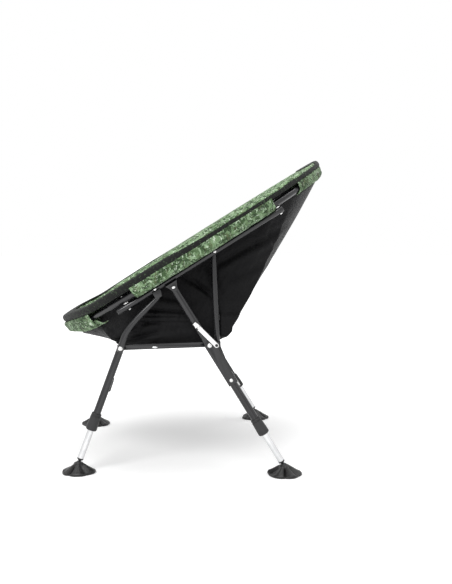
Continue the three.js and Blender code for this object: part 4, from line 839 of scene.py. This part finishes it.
def stuffed(mesh, voxel, pressure, most, frames, held):
    """Cloth under pressure on a remeshed copy: the pad swells between the places where it is held."""
    even = baked(mesh.copy(), "REMESH", mode="VOXEL", voxel_size=voxel)
    temp = added("stuffing", even)
    start = places(even)
    pins = temp.vertex_groups.new(name="held")
    for index, place in enumerate(start):
        weight = held(Vector(place))
        if weight > 0:
            pins.add([index], weight, "REPLACE")
    cloth = temp.modifiers.new("cloth", "CLOTH")
    for key, value in {
        "quality": 4, "mass": 0.35, "tension_stiffness": 12, "compression_stiffness": 12,
        "bending_stiffness": 0.6, "use_pressure": True, "uniform_pressure_force": pressure,
    }.items():
        setattr(cloth.settings, key, value)
    cloth.settings.effector_weights.gravity = 0
    cloth.settings.vertex_group_mass = "held"
    cloth.collision_settings.use_collision = False
    cloth.point_cache.frame_start = 1
    cloth.point_cache.frame_end = frames
    scene = bpy.context.scene
    for step in range(1, frames + 1):
        scene.frame_set(step)
    moved = evaluated(temp)
    scene.frame_set(1)
    step = places(moved) - start
    reach = np.linalg.norm(step, axis=1)
    share = np.where(reach > most, most / np.maximum(reach, 1e-9), 1.0)
    moved.vertices.foreach_set("co", (start + step * share[:, None]).ravel())
    bpy.data.objects.remove(temp)
    return moved


def pad_held(point):
    """1 on the rim, where the binding holds the pad, and 0 further in."""
    x, z = point.x - RING_OFFSET, point.z - RING_HEIGHT
    along = x * cos(RING_TILT) + z * sin(RING_TILT)
    inwards = rim_lift(atan2(point.y, along))[0]
    return smooth(hypot(along, point.y) - inwards, 0.396, 0.404)


pad_mesh = stuffed(pad_mesh, 0.0075, 3.0, 0.006, 14, pad_held)
pad = piece("seat_cushion", pad_mesh, "mottled", "frame", ["seat_pad"], sharp=85)


# Black binding round the pad's edge: at the front it goes over the rim and some way inwards
BINDING_PATH = [
    (0.4125, 0.0136), (0.4200, 0.0136), (0.4270, 0.0137), (0.4350, 0.0138), (0.4405, 0.0146),
    (0.4440, 0.0172), (0.44515, 0.0215), (0.4452, 0.0262), (0.4441, 0.0304), (0.4415, 0.0337),
    (0.4370, 0.0356), (0.4315, 0.0356), (0.4240, 0.0344), (0.4120, 0.0330), (0.4030, 0.0318),
]
BINDING_ANGLES = 300
BINDING_STEPS = 22
BINDING_THICKNESS = 0.0009


def along_path(path, length, count):
    """Points at even steps along the first part of a path."""
    runs = [0.0]
    for first, second in zip(path, path[1:]):
        runs.append(runs[-1] + dist(first, second))
    found = []
    for at in range(count):
        run = min(length, runs[-1]) * at / (count - 1)
        after = next(index for index in range(1, len(runs)) if runs[index] >= run - 1e-9)
        share = (run - runs[after - 1]) / (runs[after] - runs[after - 1])
        (r0, u0), (r1, u1) = path[after - 1], path[after]
        found.append((r0 + (r1 - r0) * share, u0 + (u1 - u0) * share))
    return found


def binding_section(angle):
    """Outer and inner side of the tape, as (radius, up)."""
    front = smooth(-cos(angle), 0.50, 0.84)
    wander = ripple(7 * cos(angle), 7 * sin(angle), 0)
    half = smooth(-cos(angle), -0.2, 0.35)
    rear = smooth(cos(angle), 0.90, 0.99)
    length = 0.0420 + 0.0125 * half + 0.034 * front + 0.036 * rear + 0.0024 * wander * (1 + half)
    outer = along_path(BINDING_PATH, length, BINDING_STEPS)
    inner = []
    for at, (radius, up) in enumerate(outer):
        before, after = outer[max(0, at - 1)], outer[min(BINDING_STEPS - 1, at + 1)]
        run, rise = after[0] - before[0], after[1] - before[1]
        size = hypot(run, rise)
        inner.append((radius - BINDING_THICKNESS * rise / size, up + BINDING_THICKNESS * run / size))
    return outer, inner[::-1]


binding_rows = []
for angle in around(BINDING_ANGLES):
    outer, inner = binding_section(angle)
    binding_rows.append([rim_point(radius, angle, up) for radius, up in outer + inner])
binding = shaped("rim_binding", binding_rows, "tape", "frame", sharp=50, closed_rows=True)


# Shell
def shell_dip(radius, half, up, angle, hanging=0):
    """A loop round the ring that dips at the pockets; hanging takes it further out and down there."""
    c = cos(angle)
    pocket = smooth(abs(c), 0.64, 0.78)
    front = smooth(-c, 0.60, 0.80) * hanging
    rear = smooth(c, 0.55, 0.80) * hanging
    reach = radius - 0.003 * pocket + 0.011 * front + 0.013 * rear
    side = soft_limit(reach * sin(angle), half, 0.008)
    return on_ring(reach * c, side, up - 0.004 * pocket - 0.021 * front - 0.007 * rear)


def shell_low(level, angle):
    front_x, front_z, rear_x, rear_z, half = SHELL_LOWS[level]
    # The front corners take in more of the ring, so the front panel pulls straight to them
    angle += 0.17 * sin(2 * angle) * smooth(-cos(angle), 0, 0.5)
    c, s = cos(angle), sin(angle)
    squared = 1 + (1 / max(abs(c), abs(s)) - 1) * (0.8 + 0.1 * smooth(c, 0, 0.5))
    share = (1 + c * squared) / 2
    return Vector((
        RING_OFFSET + front_x + (rear_x - front_x) * share,
        half * s * squared,
        front_z + (rear_z - front_z) * share,
    ))


# Creases seen on the side walls, as X and Z of their ends, how deep and how wide they are
CREASES = [
    ((-0.130, 0.434), (-0.042, 0.430), 0.0042, 0.0050), ((-0.215, 0.352), (-0.120, 0.372), 0.0045, 0.0080),
    ((-0.215, 0.352), (-0.150, 0.395), 0.0040, 0.0070), ((-0.205, 0.350), (-0.060, 0.358), 0.0035, 0.0060),
    ((-0.045, 0.525), (0.015, 0.487), 0.0040, 0.0080), ((-0.005, 0.505), (0.030, 0.470), 0.0030, 0.0070),
    ((0.060, 0.560), (0.160, 0.610), 0.0045, 0.0090), ((0.160, 0.610), (0.235, 0.655), 0.0035, 0.0080),
    ((0.190, 0.628), (0.200, 0.608), 0.0050, 0.0060), ((0.085, 0.400), (0.120, 0.470), 0.0040, 0.0090),
    ((0.030, 0.540), (0.080, 0.430), 0.0030, 0.0110), ((-0.100, 0.470), (-0.020, 0.455), 0.0030, 0.0090),
    ((0.100, 0.520), (0.180, 0.560), 0.0032, 0.0100), ((-0.170, 0.400), (-0.110, 0.402), 0.0030, 0.0060),
    ((0.150, 0.500), (0.200, 0.580), 0.0030, 0.0100), ((-0.060, 0.385), (0.030, 0.378), 0.0035, 0.0080),
]


def crease_depth(point):
    """How far the cloth stands in at a place on a wall: creases, then smaller waves along them."""
    x, z = point.x - RING_OFFSET, point.z
    wander = ripple(x * 11, z * 11, 1.0 if point.y > 0 else 4.0)
    depth = 0.0
    for (x0, z0), (x1, z1), deep, wide in CREASES:
        dx, dz = x1 - x0, z1 - z0
        length = hypot(dx, dz)
        run = ((x - x0) * dx + (z - z0) * dz) / length
        off = ((x - x0) * dz - (z - z0) * dx) / length + 0.006 * wander
        share = min(1.0, max(0.0, run / length))
        past = abs(run - share * length)
        fade = exp(-((past / (2.2 * wide)) ** 2))
        beside = exp(-(((off - 1.7 * wide) / (1.1 * wide)) ** 2))
        depth += deep * (exp(-((off / wide) ** 2)) - 0.55 * beside) * fade
    return depth


# A band that stands out on either side wall: X from and to, Z from and to
STRAP = (-0.147, -0.018, 0.4055, 0.4150)


def shell_fold(point, angle, share):
    """How far the cloth stands in from its stretched line: folds that run down from where it is held."""
    run = angle * 0.36
    tension = ripple(run * 14, share * 1.6, 2.0)
    small = ripple(run * 46, share * 5.0, 7.0)
    fade = sin(pi * min(1, share * 1.02)) ** 0.7
    depth = (0.0045 * abs(tension) + 0.0022 * small + 0.001) * fade
    depth += 1.5 * crease_depth(point) * smooth(share, 0.02, 0.15) * (1 - smooth(share, 0.9, 1.0))
    x0, x1, z0, z1 = STRAP
    x = point.x - RING_OFFSET
    if abs(point.y) > 0.25:
        inside = smooth(x, x0 - 0.002, x0) * (1 - smooth(x, x1, x1 + 0.002))
        inside *= smooth(point.z, z0 - 0.001, z0) * (1 - smooth(point.z, z1, z1 + 0.001))
        depth -= 0.0040 * inside
    return depth


SHELL_ANGLES = 560


def lifted(point):
    """The lower edge rides up where it passes the cross bar."""
    over_bar = 1 - smooth(abs(point.x - CROSS_X), 0.009, 0.022)
    return Vector((point.x, point.y, max(point.z, 0.3500 * over_bar)))


def over_arm(point):
    """Behind the upright the cloth passes outside the turned-up arm of the rear bar."""
    side = abs(point.y)
    near = smooth(point.x, 0.0575, 0.063) * smooth(side, 0.300, 0.314)
    near *= smooth(point.z, 0.358, 0.368) * (1 - smooth(point.z, 0.412, 0.432))
    point.y = copysign(side + (max(side, 0.3368) - side) * near, point.y)
    return point


def shell_surface():
    angles = around(SHELL_ANGLES)
    lip = [shell_dip(SHELL_TOP_RADIUS, RING_RADIUS, 0.0128, a) for a in angles]
    waist = [shell_dip(0.400, 0.329, -0.004, a, 1) for a in angles]
    outside = []
    for step in range(5):
        outside.append([first.lerp(second, step / 5) for first, second in zip(lip, waist)])
    wall = 96
    middle = Vector((RING_OFFSET - 0.08, 0, 0))
    for step in range(wall):
        share = step / wall
        row = []
        for a, high in zip(angles, waist):
            point = high.lerp(shell_low(0, a), share)
            point.z -= 0.030 * share**1.3 * (1 - share) * smooth(-cos(a), 0.3, 0.8)
            full = 0.050 * share * (1 - share) * smooth(cos(a), 0.2, 0.7)
            point += Vector((0.84, 0, -0.54)) * full
            inwards = Vector((middle.x - point.x, -point.y, 0)).normalized()
            taut = 1 - 0.6 * smooth(cos(a), 0.45, 0.75)
            by_arm = 1 - smooth(abs(point.x - 0.075), 0.03, 0.06)
            by_arm *= 1 - smooth(point.z, 0.425, 0.465)
            taut *= 1 - by_arm * smooth(abs(point.y), 0.295, 0.31)
            row.append(over_arm(point + inwards * shell_fold(point, a, share) * taut))
        outside.append(row)
    lowest = len(SHELL_LOWS) - 1
    for level in range(lowest):
        for step in range(4):
            share = step / 4
            outside.append([
                over_arm(shell_low(level, a).lerp(shell_low(level + 1, a), share)) for a in angles
            ])
    outside = [[lifted(point) for point in row] for row in outside]
    front_x, front_z, rear_x, rear_z = SHELL_LOWS[lowest][:4]
    floor_middle = Vector((RING_OFFSET + (front_x + rear_x) / 2, 0, (front_z + rear_z) / 2))
    for share in (0, 0.03, 0.07, 0.12, 0.2, 0.3, 0.4, 0.5, 0.6, 0.7, 0.8, 0.9, 0.98):
        row = []
        for a in angles:
            point = shell_low(lowest, a).lerp(floor_middle, share)
            # The edge hangs a little between the bars; further in the floor lies on the cross bar
            lying = FLOOR_Z + 0.02 * (point.x - FLOOR_X)
            point.z += (max(point.z, lying) - point.z) * smooth(share, 0.0, 0.06)
            point.z += 0.0012 * noise.noise(point * 18) * smooth(share, 0, 0.1)
            row.append(point)
        outside.append(row)
    return outside


def thick_cloth(name, rows, thickness, replaced):
    """Black cloth with an inner face: closed rings of points, moved in along the surface's own normal."""
    points = [point for row in rows for point in row]
    last_row = range(len(points) - len(rows[0]), len(points))
    mesh = bpy.data.meshes.new(name)
    mesh.from_pydata([tuple(point) for point in points], [], row_faces(rows) + [tuple(last_row)])
    mesh.update()
    done = baked(mesh, "SOLIDIFY", thickness=thickness, offset=-1)
    return piece(name, done, "black", "frame", replaced, sharp=70)


shell_rows = shell_surface()
shell = thick_cloth("seat_shell_cloth", shell_rows, 0.0012, ["seat_shell"])


# Mottled sleeves and pockets round the ring
RAGGED = 0.004
SLEEVE_SIDES = 72
SLEEVE_BORE = 0.0094
SLEEVE_FIT = 0.985
SLEEVE_ROUNDNESS = 0.62


def sleeve(name, start, end, reach_in, reach_out, down, up, replaced, puff, seed, flap=0.0, hang=0.0,
           deeper=None, lean=0.0, flap_from=0.1, hollow=0.0):
    """flap carries the lower part of both ends further round the ring; hang lets the outer side hang lower;
    deeper(angle) adds to the drop; lean carries the top of the outer side outwards and its foot inwards;
    hollow is how far round the ring the open ends reach in."""
    steps = max(60, int((end - start) / radians(0.45)))
    middle = (start + end) / 2
    turns = around(SLEEVE_SIDES)

    def spread_ends(base, share, turn):
        """The angle round the ring: both ends are ragged, and their lower part goes further."""
        lowness = smooth(-sin(turn), flap_from, 0.99) * smooth(cos(turn), -0.35, 0.05)
        wander = ripple(turn * 2.2, seed, copysign(3, base - middle))
        push = (flap * lowness + RAGGED * wander / 0.4) * smooth(abs(2 * share - 1), 0.5, 1.0)
        return base + copysign(push, base - middle)

    outside, sections = [], []
    for step in range(steps + 1):
        share = step / steps
        base = start + (end - start) * share
        edge = min(share, 1 - share) * steps
        lip = 1.0 + 0.035 * exp(-edge * edge / 10) - 0.03 * exp(-((edge - 7) ** 2) / 6)
        grow = 1 + puff * sin(pi * share) ** 2
        row, section = [], []
        for turn in turns:
            c, s = cos(turn), sin(turn)
            cu = copysign(abs(c) ** SLEEVE_ROUNDNESS, c)
            su = copysign(abs(s) ** SLEEVE_ROUNDNESS, s)
            angle = spread_ends(base, share, turn)
            crease = ripple(angle * 16 + seed, turn * 1.2, seed) * 0.0013
            small = ripple(angle * 60 + seed, turn * 3, seed) * 0.0006
            across = (reach_out if c > 0 else reach_in) * cu * grow * lip * SLEEVE_FIT
            deep = down + hang * smooth(c, -0.2, 0.5) + (deeper(base) if deeper else 0)
            across += lean * s * smooth(c, -0.2, 0.5)
            high = (up + rim_lift(base)[1] if s > 0 else deep) * su * (grow if s < 0 else 1) * SLEEVE_FIT
            shrink = 1 - (crease + small + 0.0008) / max(0.006, hypot(across, high))
            section.append((across * shrink, high * shrink))
            row.append(ring_point(RING_RADIUS + across * shrink, angle, high * shrink))
        outside.append(row)
        sections.append(section)
    inside = []
    for step in range(steps, -1, -1):
        share = step / steps
        base = start + (end - start) * share
        run = min(share, 1 - share) * (end - start)
        open_share = 0.88 * (1 - smooth(run, 0.45 * hollow, hollow)) if hollow else 0
        row = []
        for turn, (across, high) in zip(turns, sections[step]):
            across = across * open_share + SLEEVE_BORE * cos(turn) * (1 - open_share)
            high = high * open_share + SLEEVE_BORE * sin(turn) * (1 - open_share)
            row.append(ring_point(RING_RADIUS + across, spread_ends(base, share, turn), high))
        inside.append(row)
    made = shaped(name, outside + inside, "mottled", "frame", replaced, sharp=60, closed_rows=True)


ten = radians(10)
sleeve("front_pocket_cloth", 14.05 * ten, 21.95 * ten, 0.0115, 0.0135, 0.0085, 0.0168, ["front_pocket"],
       0.04, 3, flap=radians(6), deeper=lambda angle: 0.021 * smooth(cos(angle), -1.0, -0.84),
       flap_from=0.80, lean=0.0060, hollow=radians(5))
sleeve("rear_pocket_cloth", -4.4 * ten, 4.4 * ten, 0.0115, 0.0140, 0.0140, 0.0168, ["rear_pocket"],
       0.04, 11, flap=radians(1.5), lean=0.0075, hollow=radians(5))
for side, start, end, seed in (("right", 5.95, 11.7, 23), ("left", -11.7, -5.95, 31)):
    sleeve(f"{side}_sleeve_cloth", start * ten, end * ten, 0.011, 0.0168, 0.0112, 0.0262,
           [f"{side}_side_sleeve"], 0, seed, hang=0.0045, lean=0.0065)


def background_rays(tree):
    """1 for the rays that see the pale background: the camera's, and those by way of metal or glass."""
    rays = tree.nodes.new("ShaderNodeLightPath")
    found = rays.outputs["Is Camera Ray"]
    for kind in ("Is Glossy Ray", "Is Transmission Ray"):
        either = tree.nodes.new("ShaderNodeMath")
        either.operation = "MAXIMUM"
        tree.links.new(found, either.inputs[0])
        tree.links.new(rays.outputs[kind], either.inputs[1])
        found = either.outputs[0]
    return found


# Floor, backdrop light and studio lamps
floor_mesh = bpy.data.meshes.new("floor")
floor_mesh.from_pydata([(-30, -30, 0), (30, -30, 0), (30, 30, 0), (-30, 30, 0)], [], [(0, 1, 2, 3)])
floor = added("floor", floor_mesh)
pale = Look("pale_floor", Base_Color=(0.86, 0.86, 0.86, 1), Roughness=1.0, Specular_IOR_Level=0.0)
reach = pale.node("VectorMath", {0: pale.place}, operation="LENGTH").outputs["Value"]
far = pale.span(reach, 0.7, 3.0, 0.26, 0.8)
pale.put(pale.shader, "Emission Color", (1, 1, 1, 1))
pale.put(pale.shader, "Emission Strength", pale.times(background_rays(pale.tree), far))
floor_mesh.materials.append(pale.material)

world = bpy.data.worlds.new("studio")
bpy.context.scene.world = world
world.use_nodes = True
sky = world.node_tree.nodes["Background"]
sky.inputs[0].default_value = (1, 1, 1, 1)
sky_power = world.node_tree.nodes.new("ShaderNodeMapRange")
sky_power.inputs["To Min"].default_value = 0.48
sky_power.inputs["To Max"].default_value = 1.0
world.node_tree.links.new(background_rays(world.node_tree), sky_power.inputs["Value"])
world.node_tree.links.new(sky_power.outputs[0], sky.inputs[1])


def lamp(name, place, target, width, height, power):
    data = bpy.data.lights.new(name, "AREA")
    data.shape = "RECTANGLE"
    data.size = width
    data.size_y = height
    data.energy = power
    made = added(name, data)
    made.location = place
    made.rotation_euler = (Vector(target) - Vector(place)).to_track_quat("-Z", "Y").to_euler()


lamp("key_light", (-1.2, -2.4, 2.4), (0, 0, 0.4), 1.6, 1.6, 75)
lamp("top_light", (0.2, 0.2, 3.2), (0, 0, 0.3), 2.6, 2.6, 85)
lamp("side_light", (2.6, -1.8, 1.6), (0, 0, 0.45), 1.2, 1.6, 5)

bpy.context.scene.view_settings.view_transform = "Standard"
